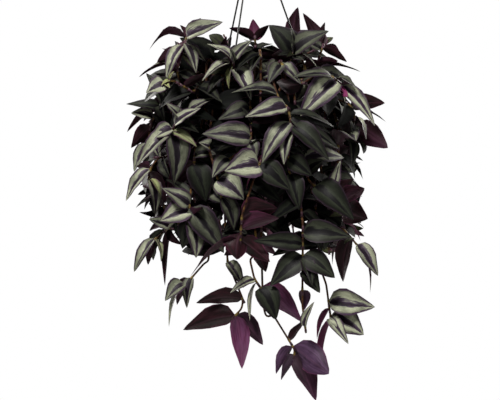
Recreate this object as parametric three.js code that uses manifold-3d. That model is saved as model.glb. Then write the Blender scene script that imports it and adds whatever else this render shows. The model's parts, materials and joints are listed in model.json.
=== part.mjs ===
// Hanging potted tradescantia: leafy stems in a pot of soil, three strands and a hook.
// Millimetres, +Z up. The origin is the point inside the hook that the ceiling's hook bears on.
import * as THREE from "three";
import { mergeVertices } from "three/addons/utils/BufferGeometryUtils.js";
import Module from "manifold-3d";

const wasm = await Module();
wasm.setup();

// Driving dimensions

const GAP = 0.3;

const HOOK = {
  wire: 4.5,
  bend: 15.25,
  bendHeight: -13,
  bendFrom: 215,
  bendTo: -50,
  bendSteps: 10,
  shankTop: -34,
  hubTop: -40,
  hubBottom: -62,
  hubRadius: 8,
  shoulder: 8,
  sides: 12,
};

const POT = {
  rim: -281,
  height: 125,
  inside: 80,
  base: 58,
  wall: 2,
  lip: 91,
  lipThick: 2.4,
  skirt: 7,
  foot: 3,
  sides: 28,
};

const SOIL = { below: 14, dome: 5, flat: 72, sides: 24, holeDepth: 20, holeRadius: 4, between: 8.6 };

const STRAND = {
  radius: 1,
  sides: 6,
  topRadius: 4.5,
  topHeight: -52,
  holeRadius: 1.8,
  reach: 86,
  rise: 4,
  bead: 2.5,
};
const STRAND_ANGLES = [7.2, 127.2, 247.2];

const STEM = { radius: 2.4, sides: 3, fine: 20, turn: 28, chord: 110, mark: 3, end: 2, clear: 0.4 };
const BLADE = { thick: 1.3, rootThick: 1, rootAt: 0.45, narrow: 20, clear: 0.35, free: 0.24 };

// A blade's sections along its length, for a wide and a narrow one, the powers of its outline, the lean of its
// arch towards the base, how steeply its halves fold up at the base and how much less at the tip

const FORM = { wide: [0.28, 0.66], narrow: [0.4], outline: [0.62, 0.78], lean: [1.25, 0.5], fold: [0.34, 0.2] };

// The view that the front shoots are placed by: picture points at 1.5 mm each, seen from the front

const VIEW = { scale: 1.5, middle: [250, 200], centre: [-6, -453], distance: 2400 };

// Limits of the leaves placed by a rule, in picture points: [height, left, right]

const OUTLINE = [
  [8, 290, 304],
  [20, 236, 314],
  [32, 190, 332],
  [45, 158, 338],
  [60, 150, 350],
  [75, 142, 358],
  [90, 136, 364],
  [105, 128, 376],
  [145, 130, 376],
  [158, 140, 364],
  [190, 136, 364],
  [206, 134, 368],
  [222, 144, 368],
  [240, 146, 370],
  [266, 140, 374],
  [282, 166, 364],
];

// Front shoots. way: picture points and depth of the stem, nearest the viewer being the largest depth.
// Each leaf: where it leaves the stem, its tip, how much nearer the tip is, its width in mm, and how far
// its upper face is turned up from the viewer, in degrees (0 faces the viewer, 90 the sky, 180 away).

const SHOOTS = [
  {"name": "lowest", "ring": 0, "way": [[262, 292, 122], [274, 316, 134], [283, 332, 138], [294, 347, 138],
    [294, 358, 136]],
   "leaves": [
     {"from": [293, 346], "to": [329, 374], "near": 32, "wide": 44, "face": 164},
     {"from": [294, 354], "to": [316, 401], "near": -8, "wide": 36, "face": 162},
     {"from": [293, 347], "to": [276, 374], "near": 10, "wide": 19, "face": 148},
     {"from": [294, 355], "to": [281, 380], "near": -10, "wide": 17, "face": 152},
     {"from": [289, 340], "to": [306, 319], "near": -8, "wide": 14, "face": 145}]},
  {"name": "crown_left", "ring": 1, "way": [[182, 84, 62], [177, 70, 70], [182, 50, 78], [187, 36, 80]],
   "leaves": [
     {"from": [187, 37], "to": [223, 22], "near": 18, "wide": 30, "face": 30},
     {"from": [187, 36], "to": [201, 18], "near": -4, "wide": 17, "face": 150},
     {"from": [186, 37], "to": [149, 50], "near": 10, "wide": 25, "face": 112, "arch": 0.26},
     {"from": [187, 36], "to": [180, 25], "near": -10, "wide": 12, "face": 150},
     {"from": [183, 46], "to": [166, 80], "near": 22, "wide": 21, "face": 25},
     {"from": [181, 50], "to": [206, 62], "near": -6, "wide": 24, "face": 45},
     {"from": [181, 52], "to": [157, 62], "near": 6, "wide": 25, "face": 158},
     {"from": [184, 44], "to": [196, 73], "near": 24, "wide": 20, "face": 35},
     {"from": [178, 66], "to": [141, 75], "near": 2, "wide": 22, "face": 70},
     {"from": [178, 72], "to": [203, 88], "near": 8, "wide": 24, "face": 45}]},
  {"name": "left_young", "ring": 2, "way": [[194, 92, 80], [182, 84, 94], [171, 80, 100], [163, 86, 100]],
   "leaves": [
     {"from": [170, 80], "to": [161, 86], "near": 10, "wide": 8, "face": 40},
     {"from": [170, 80], "to": [174, 71], "near": 4, "wide": 8, "face": 50},
     {"from": [164, 85], "to": [146, 93], "near": 6, "wide": 31, "face": 28},
     {"from": [164, 85], "to": [170, 88], "near": 14, "wide": 8, "face": 40},
     {"from": [172, 80], "to": [142, 104], "near": -14, "wide": 24, "face": 20},
     {"from": [186, 84], "to": [206, 74], "near": 14, "wide": 13, "face": 150}]},
  {"name": "crown_middle", "ring": 1, "way": [[244, 86, 62], [237, 74, 88], [231, 62, 100]],
   "leaves": [
     {"from": [231, 62], "to": [207, 44], "near": 12, "wide": 25, "face": 58},
     {"from": [231, 61], "to": [252, 40], "near": 6, "wide": 23, "face": 38},
     {"from": [232, 64], "to": [226, 48], "near": 6, "wide": 12, "face": 80},
     {"from": [232, 64], "to": [202, 81], "near": 16, "wide": 20, "face": 50},
     {"from": [235, 68], "to": [216, 62], "near": -8, "wide": 22, "face": 45},
     {"from": [233, 66], "to": [229, 89], "near": 14, "wide": 15, "face": 55},
     {"from": [236, 70], "to": [252, 98], "near": 24, "wide": 31, "face": 15}]},
  {"name": "crown_back", "ring": 0, "way": [[257, 80, -18], [259, 60, -8], [255, 38, 2]],
   "leaves": [
     {"from": [255, 38], "to": [229, 28], "near": -4, "wide": 17, "face": 138},
     {"from": [255, 38], "to": [269, 25], "near": 4, "wide": 15, "face": 150},
     {"from": [256, 41], "to": [253, 19], "near": -10, "wide": 22, "face": 165},
     {"from": [258, 52], "to": [273, 44], "near": 10, "wide": 18, "face": 60},
     {"from": [258, 56], "to": [236, 47], "near": 4, "wide": 22, "face": 50},
     {"from": [259, 62], "to": [261, 78], "near": 26, "wide": 18, "face": 45},
     {"from": [258, 66], "to": [278, 74], "near": 10, "wide": 24, "face": 45}]},
  {"name": "crown_right", "ring": 1, "way": [[285, 84, 58], [286, 68, 66], [294, 51, 70]],
   "leaves": [
     {"from": [294, 51], "to": [269, 25], "near": -2, "wide": 40, "face": 20},
     {"from": [294, 51], "to": [290, 27], "near": 12, "wide": 19, "face": 60},
     {"from": [294, 51], "to": [329, 31], "near": 8, "wide": 34, "face": 30},
     {"from": [293, 53], "to": [317, 67], "near": 20, "wide": 13, "face": 68},
     {"from": [287, 66], "to": [247, 58], "near": 12, "wide": 20, "face": 118},
     {"from": [286, 70], "to": [301, 76], "near": 16, "wide": 18, "face": 140}]},
  {"name": "crown_peak", "ring": 0, "way": [[299, 80, -38], [298, 60, -36], [294, 38, -34]],
   "leaves": [
     {"from": [294, 39], "to": [298, 7], "near": 2, "wide": 25, "face": 160},
     {"from": [295, 43], "to": [313, 30], "near": -16, "wide": 22, "face": 50},
     {"from": [296, 48], "to": [280, 30], "near": -12, "wide": 26, "face": 40},
     {"from": [298, 56], "to": [328, 58], "near": -10, "wide": 26, "face": 45}]},
  {"name": "crown_far_right", "ring": 1, "way": [[311, 82, 0], [319, 64, 2], [323, 46, 4]],
   "leaves": [
     {"from": [323, 47], "to": [325, 22], "near": 0, "wide": 17, "face": 160},
     {"from": [323, 48], "to": [304, 13], "near": -10, "wide": 25, "face": 152},
     {"from": [323, 48], "to": [347, 62], "near": 10, "wide": 18, "face": 135},
     {"from": [320, 62], "to": [338, 61], "near": 16, "wide": 14, "face": 150},
     {"from": [318, 68], "to": [361, 72], "near": 18, "wide": 15, "face": 96},
     {"from": [322, 52], "to": [304, 42], "near": 6, "wide": 22, "face": 40}]},
  {"name": "right_shoulder", "ring": 2, "way": [[302, 84, 92], [318, 75, 104], [333, 77, 96], [342, 87, 88]],
   "leaves": [
     {"from": [332, 77], "to": [292, 77], "near": 24, "wide": 23, "face": 52},
     {"from": [338, 81], "to": [299, 117], "near": 20, "wide": 42, "face": 14},
     {"from": [342, 87], "to": [375, 126], "near": 12, "wide": 27, "face": 26},
     {"from": [336, 79], "to": [356, 88], "near": 14, "wide": 20, "face": 62},
     {"from": [342, 87], "to": [346, 102], "near": 14, "wide": 11, "face": 40},
     {"from": [303, 80], "to": [293, 101], "near": 14, "wide": 27, "face": 18},
     {"from": [341, 85], "to": [362, 96], "near": -12, "wide": 20, "face": 150}]},
  {"name": "right_edge", "ring": 2, "way": [[322, 92, 24], [342, 98, 26], [354, 112, 24], [354, 130, 20],
    [350, 150, 20]],
   "leaves": [
     {"from": [354, 126], "to": [388, 148], "near": 4, "wide": 38, "face": 158},
     {"from": [350, 106], "to": [385, 103], "near": -6, "wide": 28, "face": 150},
     {"from": [354, 116], "to": [366, 140], "near": 24, "wide": 14, "face": 62},
     {"from": [352, 110], "to": [386, 122], "near": 14, "wide": 17, "face": 80},
     {"from": [352, 141], "to": [352, 167], "near": 14, "wide": 20, "face": 30},
     {"from": [351, 146], "to": [332, 174], "near": 10, "wide": 22, "face": 140}]},
  {"name": "front_upper", "ring": 2, "way": [[276, 96, 118], [287, 106, 136], [292, 124, 144], [290, 140, 146],
    [287, 156, 140], [290, 176, 132]],
   "leaves": [
     {"from": [287, 107], "to": [245, 117], "near": 20, "wide": 31, "face": 28, "arch": 0.06},
     {"from": [291, 122], "to": [262, 163], "near": 16, "wide": 31, "face": 24},
     {"from": [291, 130], "to": [284, 165], "near": 16, "wide": 22, "face": 30},
     {"from": [292, 126], "to": [329, 160], "near": 18, "wide": 33, "face": 26},
     {"from": [291, 117], "to": [341, 150], "near": -10, "wide": 22, "face": 30},
     {"from": [281, 100], "to": [240, 99], "near": 0, "wide": 15, "face": 82},
     {"from": [289, 114], "to": [334, 127], "near": -10, "wide": 20, "face": 58},
     {"from": [287, 158], "to": [312, 176], "near": 6, "wide": 28, "face": 10},
     {"from": [290, 174], "to": [300, 212], "near": 6, "wide": 30, "face": 15},
     {"from": [289, 172], "to": [272, 200], "near": -6, "wide": 30, "face": 20}]},
  {"name": "front_left_upper", "ring": 1, "way": [[250, 100, 106], [254, 120, 128], [251, 139, 138],
    [240, 152, 138], [228, 160, 134]],
   "leaves": [
     {"from": [251, 139], "to": [202, 134], "near": 16, "wide": 39, "face": 22},
     {"from": [254, 124], "to": [240, 106], "near": 10, "wide": 15, "face": 60},
     {"from": [252, 108], "to": [218, 120], "near": 8, "wide": 28, "face": 20},
     {"from": [230, 159], "to": [212, 178], "near": 8, "wide": 26, "face": 25},
     {"from": [250, 141], "to": [256, 160], "near": 14, "wide": 22, "face": 15}]},
  {"name": "front_long", "ring": 2, "way": [[268, 138, 128], [262, 163, 152], [253, 182, 160], [245, 200, 162],
    [242, 214, 162], [243, 230, 160], [240, 244, 156]],
   "leaves": [
     {"from": [260, 165], "to": [225, 171], "near": 16, "wide": 46, "face": 16},
     {"from": [258, 172], "to": [246, 191], "near": 12, "wide": 11, "face": 80},
     {"from": [261, 165], "to": [290, 190], "near": 8, "wide": 35, "face": 12},
     {"from": [242, 218], "to": [277, 208], "near": 4, "wide": 40, "face": 162},
     {"from": [243, 229], "to": [279, 218], "near": 18, "wide": 30, "face": 150},
     {"from": [242, 234], "to": [236, 259], "near": 12, "wide": 36, "face": 162},
     {"from": [241, 239], "to": [190, 277], "near": 8, "wide": 25, "face": 110},
     {"from": [241, 240], "to": [270, 262], "near": 2, "wide": 28, "face": 165}]},
  {"name": "mid_left", "ring": 1, "way": [[208, 140, 108], [214, 160, 128], [219, 181, 138], [222, 200, 138]],
   "leaves": [
     {"from": [219, 179], "to": [244, 200], "near": 12, "wide": 43, "face": 16},
     {"from": [222, 200], "to": [234, 230], "near": -4, "wide": 28, "face": 25},
     {"from": [210, 148], "to": [198, 142], "near": 4, "wide": 22, "face": 40}]},
  {"name": "left_middle", "ring": 2, "way": [[198, 138, 96], [193, 160, 112], [191, 186, 120], [189, 212, 122],
    [192, 226, 118]],
   "leaves": [
     {"from": [189, 213], "to": [160, 221], "near": 14, "wide": 38, "face": 30},
     {"from": [190, 217], "to": [196, 258], "near": 16, "wide": 34, "face": 26},
     {"from": [190, 220], "to": [181, 250], "near": -2, "wide": 28, "face": 30},
     {"from": [190, 208], "to": [224, 253], "near": 8, "wide": 40, "face": 16},
     {"from": [190, 206], "to": [162, 188], "near": 8, "wide": 29, "face": 28},
     {"from": [190, 199], "to": [166, 180], "near": -10, "wide": 22, "face": 42},
     {"from": [193, 162], "to": [172, 196], "near": 26, "wide": 30, "face": 158},
     {"from": [193, 158], "to": [216, 154], "near": 8, "wide": 25, "face": 38},
     {"from": [193, 164], "to": [206, 202], "near": 4, "wide": 38, "face": 10}]},
  {"name": "left_upper", "ring": 2, "way": [[200, 106, 90], [188, 112, 106], [177, 122, 114], [171, 133, 114]],
   "leaves": [
     {"from": [172, 132], "to": [137, 166], "near": 10, "wide": 28, "face": 34},
     {"from": [171, 133], "to": [173, 184], "near": 18, "wide": 38, "face": 20},
     {"from": [172, 132], "to": [197, 147], "near": 12, "wide": 21, "face": 40},
     {"from": [175, 125], "to": [201, 108], "near": 12, "wide": 22, "face": 44},
     {"from": [178, 121], "to": [184, 93], "near": 0, "wide": 18, "face": 40},
     {"from": [173, 130], "to": [151, 137], "near": 4, "wide": 26, "face": 30},
     {"from": [180, 119], "to": [166, 103], "near": -2, "wide": 19, "face": 45},
     {"from": [189, 111], "to": [215, 98], "near": 8, "wide": 20, "face": 45}]},
  {"name": "left_edge", "ring": 2, "way": [[186, 102, 30], [168, 102, 42], [155, 114, 42], [149, 130, 40],
    [150, 148, 38]],
   "leaves": [
     {"from": [153, 118], "to": [131, 113], "near": 4, "wide": 22, "face": 32},
     {"from": [158, 110], "to": [127, 132], "near": -2, "wide": 16, "face": 122},
     {"from": [150, 127], "to": [131, 148], "near": 4, "wide": 24, "face": 148},
     {"from": [158, 107], "to": [126, 104], "near": 6, "wide": 20, "face": 34},
     {"from": [162, 106], "to": [146, 73], "near": -4, "wide": 18, "face": 30},
     {"from": [150, 145], "to": [134, 172], "near": -4, "wide": 24, "face": 35},
     {"from": [149, 138], "to": [160, 160], "near": 14, "wide": 24, "face": 30}]},
  {"name": "left_lower", "ring": 2, "way": [[172, 150, 48], [158, 158, 58], [149, 172, 62], [150, 188, 60]],
   "leaves": [
     {"from": [150, 170], "to": [126, 201], "near": 10, "wide": 23, "face": 36},
     {"from": [149, 178], "to": [155, 216], "near": 12, "wide": 24, "face": 36},
     {"from": [150, 180], "to": [161, 194], "near": 12, "wide": 13, "face": 40},
     {"from": [150, 171], "to": [166, 204], "near": -8, "wide": 20, "face": 150},
     {"from": [150, 169], "to": [136, 166], "near": -6, "wide": 18, "face": 140}]},
  {"name": "left_low", "ring": 1, "way": [[180, 216, 62], [168, 228, 72], [153, 241, 74]],
   "leaves": [
     {"from": [153, 241], "to": [134, 272], "near": 8, "wide": 20, "face": 35},
     {"from": [153, 241], "to": [148, 265], "near": 0, "wide": 17, "face": 140},
     {"from": [155, 239], "to": [161, 262], "near": 14, "wide": 13, "face": 50},
     {"from": [166, 229], "to": [157, 265], "near": -4, "wide": 22, "face": 20},
     {"from": [171, 225], "to": [165, 286], "near": 8, "wide": 13, "face": 140},
     {"from": [169, 227], "to": [149, 219], "near": 12, "wide": 22, "face": 35}]},
  {"name": "left_lowest", "ring": 1, "way": [[210, 240, 92], [204, 264, 104], [194, 276, 108], [183, 286, 108]],
   "leaves": [
     {"from": [192, 277], "to": [187, 309], "near": 4, "wide": 20, "face": 30},
     {"from": [184, 285], "to": [165, 301], "near": 12, "wide": 27, "face": 30},
     {"from": [185, 284], "to": [169, 327], "near": 4, "wide": 12, "face": 60},
     {"from": [190, 279], "to": [177, 305], "near": -10, "wide": 20, "face": 150}]},
  {"name": "right_middle", "ring": 2, "way": [[302, 160, 116], [312, 184, 130], [330, 191, 116],
    [342, 204, 100], [346, 218, 96]],
   "leaves": [
     {"from": [314, 186], "to": [354, 220], "near": 22, "wide": 41, "face": 20},
     {"from": [332, 191], "to": [329, 205], "near": 32, "wide": 22, "face": 34},
     {"from": [334, 195], "to": [341, 160], "near": -4, "wide": 23, "face": 36},
     {"from": [328, 190], "to": [330, 174], "near": 2, "wide": 14, "face": 50},
     {"from": [337, 199], "to": [353, 179], "near": 0, "wide": 25, "face": 152},
     {"from": [342, 205], "to": [362, 190], "near": 4, "wide": 30, "face": 150},
     {"from": [344, 212], "to": [370, 219], "near": 8, "wide": 40, "face": 157},
     {"from": [306, 172], "to": [324, 160], "near": 6, "wide": 28, "face": 30}]},
  {"name": "right_low", "ring": 1, "way": [[326, 214, 82], [343, 228, 86], [358, 246, 80]],
   "leaves": [
     {"from": [350, 236], "to": [343, 282], "near": 10, "wide": 27, "face": 155},
     {"from": [358, 246], "to": [378, 276], "near": 8, "wide": 28, "face": 30},
     {"from": [358, 246], "to": [370, 293], "near": -4, "wide": 14, "face": 96},
     {"from": [346, 231], "to": [336, 265], "near": -6, "wide": 18, "face": 110}]},
  {"name": "front_right_long", "ring": 1, "way": [[300, 200, 136], [303, 226, 148], [298, 254, 154],
    [299, 272, 154], [301, 290, 152], [303, 312, 148], [306, 333, 144]],
   "leaves": [
     {"from": [302, 232], "to": [351, 237], "near": 10, "wide": 35, "face": 16},
     {"from": [301, 244], "to": [253, 241], "near": 12, "wide": 27, "face": 8},
     {"from": [298, 255], "to": [270, 286], "near": 10, "wide": 35, "face": 16},
     {"from": [298, 256], "to": [335, 278], "near": 14, "wide": 35, "face": 16},
     {"from": [298, 260], "to": [312, 287], "near": 24, "wide": 22, "face": 28},
     {"from": [299, 270], "to": [320, 293], "near": 12, "wide": 25, "face": 22},
     {"from": [301, 290], "to": [305, 312], "near": 8, "wide": 18, "face": 150},
     {"from": [305, 328], "to": [313, 304], "near": 10, "wide": 14, "face": 50}]},
  {"name": "right_lowest", "ring": 2, "way": [[318, 246, 112], [323, 274, 124], [329, 292, 128], [331, 303, 128],
    [331, 320, 126]],
   "leaves": [
     {"from": [331, 301], "to": [375, 307], "near": 2, "wide": 39, "face": 18},
     {"from": [331, 315], "to": [364, 335], "near": 30, "wide": 44, "face": 10},
     {"from": [331, 308], "to": [317, 339], "near": 12, "wide": 10, "face": 150},
     {"from": [331, 319], "to": [321, 372], "near": 2, "wide": 12, "face": 150}]},
  {"name": "low_middle", "ring": 1, "way": [[256, 236, 124], [250, 260, 138], [254, 278, 146], [262, 290, 146]],
   "leaves": [
     {"from": [261, 289], "to": [276, 320], "near": 12, "wide": 35, "face": 14},
     {"from": [261, 289], "to": [302, 322], "near": -2, "wide": 35, "face": 160},
     {"from": [255, 280], "to": [230, 293], "near": 12, "wide": 18, "face": 42},
     {"from": [256, 282], "to": [250, 321], "near": 12, "wide": 12, "face": 62},
     {"from": [252, 252], "to": [266, 272], "near": 6, "wide": 26, "face": 150}]},
  {"name": "left_tail", "ring": 2, "way": [[226, 246, 104], [232, 272, 118], [242, 294, 130], [242, 308, 134],
    [234, 317, 136]],
   "leaves": [
     {"from": [242, 300], "to": [196, 303], "near": 16, "wide": 27, "face": 150},
     {"from": [235, 316], "to": [183, 330], "near": 8, "wide": 35, "face": 164},
     {"from": [235, 316], "to": [242, 369], "near": 12, "wide": 29, "face": 165},
     {"from": [237, 314], "to": [263, 345], "near": 4, "wide": 26, "face": 160},
     {"from": [231, 262], "to": [243, 288], "near": 10, "wide": 20, "face": 18}]},
];

// Long shoots placed by a rule, round the sides and the back. reach is the part of the foliage's half width
// that a stem hangs at, and end how far below the rim it ends, more at the back.

const AROUND = {
  count: 21,
  first: -20,
  apart: 11,
  rings: [1, 2],
  reach: [0.8, 0.63],
  end: [190, 255],
  behind: 10,
  below: 40,
  step: 60,
  out: 20,
  spread: [0.45, 0.3],
  sway: 4,
};
const DEPTH_HALF = 150;
const DEPTH_SLACK = 1.04;

// Short shoots that rise inside the crown and lean out: [bearing, hole ring, reach, tip height]

const RISING = [
  [20, 0, 105, -222],
  [72, 0, 110, -205],
  [118, 0, 100, -196],
  [160, 0, 120, -216],
  [205, 0, 52, -226],
  [250, 0, 38, -232],
  [335, 0, 56, -224],
];

const RISE = { part: 0.62, height: 40 };

// Rings of holes in the soil, and a stem's way from its hole: up out of the soil, over the rim and down. A stem
// of an outer ring passes the rim lower and closer.

const RINGS = [24, 44, 64];
const ROOT = { above: 8, within: 4, high: 12, lift: [34, 11], over: [16, 3], down: 0.35 };
const ROOT_TRIES = { turns: 19, apart: 3 };

// Leaves placed by a rule: their spacing, where on a stem they start, and the ranges that they are drawn from.
// spread is the bearing from straight out, in degrees; climb is how far the axis rises for each unit out.

const SPACING = { front: 90, around: 37, rising: 24 };
const BARE = { past: 4, above: 36 };
const RULE = {
  spread: [12, 88],
  frontSpread: [60, 125],
  climb: [-0.3, 0.7],
  droop: [-0.95, 0.1],
  length: [56, 82],
  wide: [0.38, 0.48],
  arch: [0.06, 0.16],
  roll: [-38, 38],
  light: [0.6, 0.75],
  flips: 0.22,
  flip: 150,
  youngest: 0.5,
  growing: 160,
  middle: 0.6,
};

// How far the tries of a leaf may leave its first place, and how many there are

const LOOSE = { near: [-34, 34], tip: [-5, 5], face: [-22, 22], full: 6 };
const ARCH = 0.1;
const TRIES = 26;
const SEED = 7;
const DRAW = { sway: 11, length: 12, rule: 100 };

const COLOURS = {
  hook: 0x1c1c1d,
  strand: 0x171716,
  pot: 0x232426,
  soil: 0x2b2019,
  leaf: 0x66735c,
};

// Seeded draws and small vector helpers

function chance(...keys) {
  let h = SEED;
  for (const key of keys) {
    h = Math.imul(h ^ (key + 1), 0x9e3779b1);
    h ^= h >>> 15;
    h = Math.imul(h, 0x85ebca6b);
    h ^= h >>> 13;
  }
  return (h >>> 0) / 2 ** 32;
}

function between(low, high, ...keys) {
  return low + (high - low) * chance(...keys);
}

function radians(degrees) {
  return (degrees * Math.PI) / 180;
}

function polar(radius, bearing, z) {
  return new THREE.Vector3(radius * Math.cos(bearing), radius * Math.sin(bearing), z);
}

// From picture points to the object's frame, and back

function at([across, down], depth) {
  const scale = (VIEW.scale * (VIEW.distance - depth)) / VIEW.distance;
  const x = VIEW.centre[0] + (across - VIEW.middle[0]) * scale;
  const z = VIEW.centre[1] - (down - VIEW.middle[1]) * scale;
  return new THREE.Vector3(x, -depth, z);
}

function seen(point) {
  const scale = (VIEW.scale * (VIEW.distance + point.y)) / VIEW.distance;
  const across = VIEW.middle[0] + (point.x - VIEW.centre[0]) / scale;
  const down = VIEW.middle[1] - (point.z - VIEW.centre[1]) / scale;
  return [across, down];
}

function limits(down) {
  const last = OUTLINE.length - 1;
  const kept = Math.min(Math.max(down, OUTLINE[0][0]), OUTLINE[last][0]);
  let row = 1;
  while (row < last && OUTLINE[row][0] < kept) {
    row += 1;
  }
  const [low, high] = [OUTLINE[row - 1], OUTLINE[row]];
  const part = (kept - low[0]) / (high[0] - low[0]);
  return [low[1] + (high[1] - low[1]) * part, low[2] + (high[2] - low[2]) * part];
}

// Middle, half width and half depth of the foliage at a height, in mm

function girth(z) {
  const [left, right] = limits(VIEW.middle[1] - (z - VIEW.centre[1]) / VIEW.scale);
  const middle = VIEW.centre[0] + ((left + right) / 2 - VIEW.middle[0]) * VIEW.scale;
  const half = ((right - left) / 2) * VIEW.scale;
  return [middle, half, z > POT.rim ? half : Math.max(half, DEPTH_HALF)];
}

function inside(point) {
  const [across, down] = seen(point);
  const [left, right] = limits(down);
  const [middle, half, depth] = girth(point.z);
  const [first, last] = [OUTLINE[0][0], OUTLINE[OUTLINE.length - 1][0]];
  const level = down > first && down < last && across > left && across < right;
  return level && Math.hypot((point.x - middle) / half, point.y / depth) < DEPTH_SLACK;
}

// Stem routes

function rooted(first, ring, turn) {
  const bearing = Math.atan2(first.y, first.x) + radians(turn);
  const soil = POT.rim - SOIL.below;
  const out = RINGS[ring];
  const start = [polar(out, bearing, soil - SOIL.holeDepth + GAP), polar(out, bearing, soil + ROOT.above)];
  const within = Math.hypot(first.x, first.y) < POT.inside + ROOT.within;
  if (within || first.z > POT.rim + ROOT.high) {
    return start;
  }
  const lift = ROOT.lift[0] - ring * ROOT.lift[1];
  const over = POT.lip + ROOT.over[0] - ring * ROOT.over[1];
  start.push(polar((out + over) / 2, bearing, POT.rim + lift));
  start.push(polar(over, bearing, POT.rim + lift * ROOT.down));
  return start;
}

// Each try leaves the soil a little further round, and then in another ring of holes

function rootTry(attempt) {
  const step = attempt % ROOT_TRIES.turns;
  const turn = Math.ceil(step / 2) * ROOT_TRIES.apart * (step % 2 === 0 ? -1 : 1);
  return [turn, Math.floor(attempt / ROOT_TRIES.turns)];
}

function frontRoute(shoot, attempt) {
  const [turn, shift] = rootTry(attempt);
  const way = shoot.way.map(([across, down, depth]) => at([across, down], depth));
  return [...rooted(way[0], (shoot.ring + shift) % RINGS.length, turn), ...way];
}

function aroundRoute(key, attempt) {
  const [turn, shift] = rootTry(attempt);
  const odd = key % 2;
  const angle = radians(AROUND.first + AROUND.apart * key + turn);
  const behind = AROUND.behind * odd * Math.max(0, Math.sin(angle));
  const length = between(...AROUND.end, DRAW.length, key) + behind;
  const drops = Math.round(length / AROUND.step);
  const start = POT.lip + AROUND.out;
  const way = [];
  for (let k = 0; k <= drops; k += 1) {
    const z = POT.rim - AROUND.below - ((length - AROUND.below) * k) / drops;
    const [middle, half, depth] = girth(z);
    const spread = Math.min(1, AROUND.spread[0] + k * AROUND.spread[1]);
    const sway = angle + radians(between(-AROUND.sway, AROUND.sway, DRAW.sway, key, k));
    const wide = start + (half * AROUND.reach[odd] - start) * spread;
    const deep = start + (depth * AROUND.reach[odd] - start) * spread;
    way.push(new THREE.Vector3(middle * spread + wide * Math.cos(sway), deep * Math.sin(sway), z));
  }
  return [...rooted(way[0], (AROUND.rings[odd] + shift) % RINGS.length, 0), ...way];
}

function risingRoute([bearing, ring, reach, tip], attempt) {
  const [turn, shift] = rootTry(attempt);
  const angle = radians(bearing + turn);
  const way = [polar(reach * RISE.part, angle, POT.rim + RISE.height), polar(reach, angle, tip)];
  return [...rooted(way[0], (ring + shift) % RINGS.length, 0), ...way];
}

// A stem is a chain of straight chords that turn by a few degrees, with marks every few mm along them

class Chords extends THREE.Curve {
  constructor(points) {
    super();
    this.points = points;
  }

  getPoint(t, target = new THREE.Vector3()) {
    const place = t * (this.points.length - 1);
    const k = Math.min(Math.floor(place), this.points.length - 2);
    return target.lerpVectors(this.points[k], this.points[k + 1], place - k);
  }

  getPointAt(u, target) {
    return this.getPoint(u, target);
  }

  getTangentAt(u, target) {
    return this.getTangent(u, target);
  }
}

function chordPoints(route) {
  const smooth = new THREE.CatmullRomCurve3(route, false, "catmullrom", 0.5);
  const fine = smooth.getPoints((route.length - 1) * STEM.fine);
  const headings = fine.slice(1).map((point, k) => point.clone().sub(fine[k]).normalize());
  const points = [fine[0]];
  let kept = 0;
  for (let k = 1; k < headings.length; k += 1) {
    const turn = headings[k].angleTo(headings[kept]);
    const long = fine[k].distanceTo(fine[kept]) > STEM.chord;
    if (k === STEM.fine || (k > STEM.fine && (long || turn > radians(STEM.turn)))) {
      points.push(fine[k]);
      kept = k;
    }
  }
  points.push(fine[fine.length - 1]);
  return points;
}

function stemAlong(route) {
  const points = chordPoints(route);
  const lengths = [0];
  for (let k = 1; k < points.length; k += 1) {
    lengths.push(lengths[k - 1] + points[k].distanceTo(points[k - 1]));
  }
  const stem = { points, lengths, total: lengths[lengths.length - 1], marks: [] };
  for (let distance = 0; distance < stem.total - STEM.end; distance += STEM.mark) {
    stem.marks.push({ distance, ...along(stem, distance) });
  }
  return stem;
}

function along(stem, distance) {
  let k = 1;
  while (k < stem.points.length - 1 && stem.lengths[k] < distance) {
    k += 1;
  }
  const step = stem.lengths[k] - stem.lengths[k - 1];
  const part = (distance - stem.lengths[k - 1]) / step;
  const point = stem.points[k - 1].clone().lerp(stem.points[k], part);
  const heading = stem.points[k].clone().sub(stem.points[k - 1]).normalize();
  return { point, heading };
}

function markNearest(stem, distanceTo) {
  return stem.marks.reduce((best, mark) => (distanceTo(mark.point) < distanceTo(best.point) ? mark : best));
}

function seenNearest(stem, [across, down]) {
  return markNearest(stem, (point) => {
    const [x, y] = seen(point);
    return Math.hypot(x - across, y - down);
  }).point;
}

// Leaves: each try is {base, tip, normal, wide, arch}

function turned(normal, axis, degrees) {
  return normal.clone().applyAxisAngle(axis, radians(degrees));
}

function square(reference, axis) {
  return reference.clone().addScaledVector(axis, -reference.dot(axis)).normalize();
}

function placedLeaf(stem, leaf, shootKey, leafKey, attempt) {
  const base = seenNearest(stem, leaf.from);
  const loose = Math.min(attempt, LOOSE.full) / LOOSE.full;
  const draw = (range, which) => between(...range, shootKey, leafKey, attempt, which) * loose;
  const near = leaf.near + draw(LOOSE.near, 1);
  const aside = draw(LOOSE.tip, 2);
  const below = draw(LOOSE.tip, 3);
  const face = leaf.face + draw(LOOSE.face, 4);
  const tip = at([leaf.to[0] + aside, leaf.to[1] + below], near - base.y);
  const axis = tip.clone().sub(base).normalize();
  const front = square(new THREE.Vector3(0, -1, 0), axis);
  const side = axis.x < 0 ? 1 : -1;
  return { base, tip, normal: turned(front, axis, face * side), wide: leaf.wide, arch: leaf.arch ?? ARCH };
}

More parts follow.
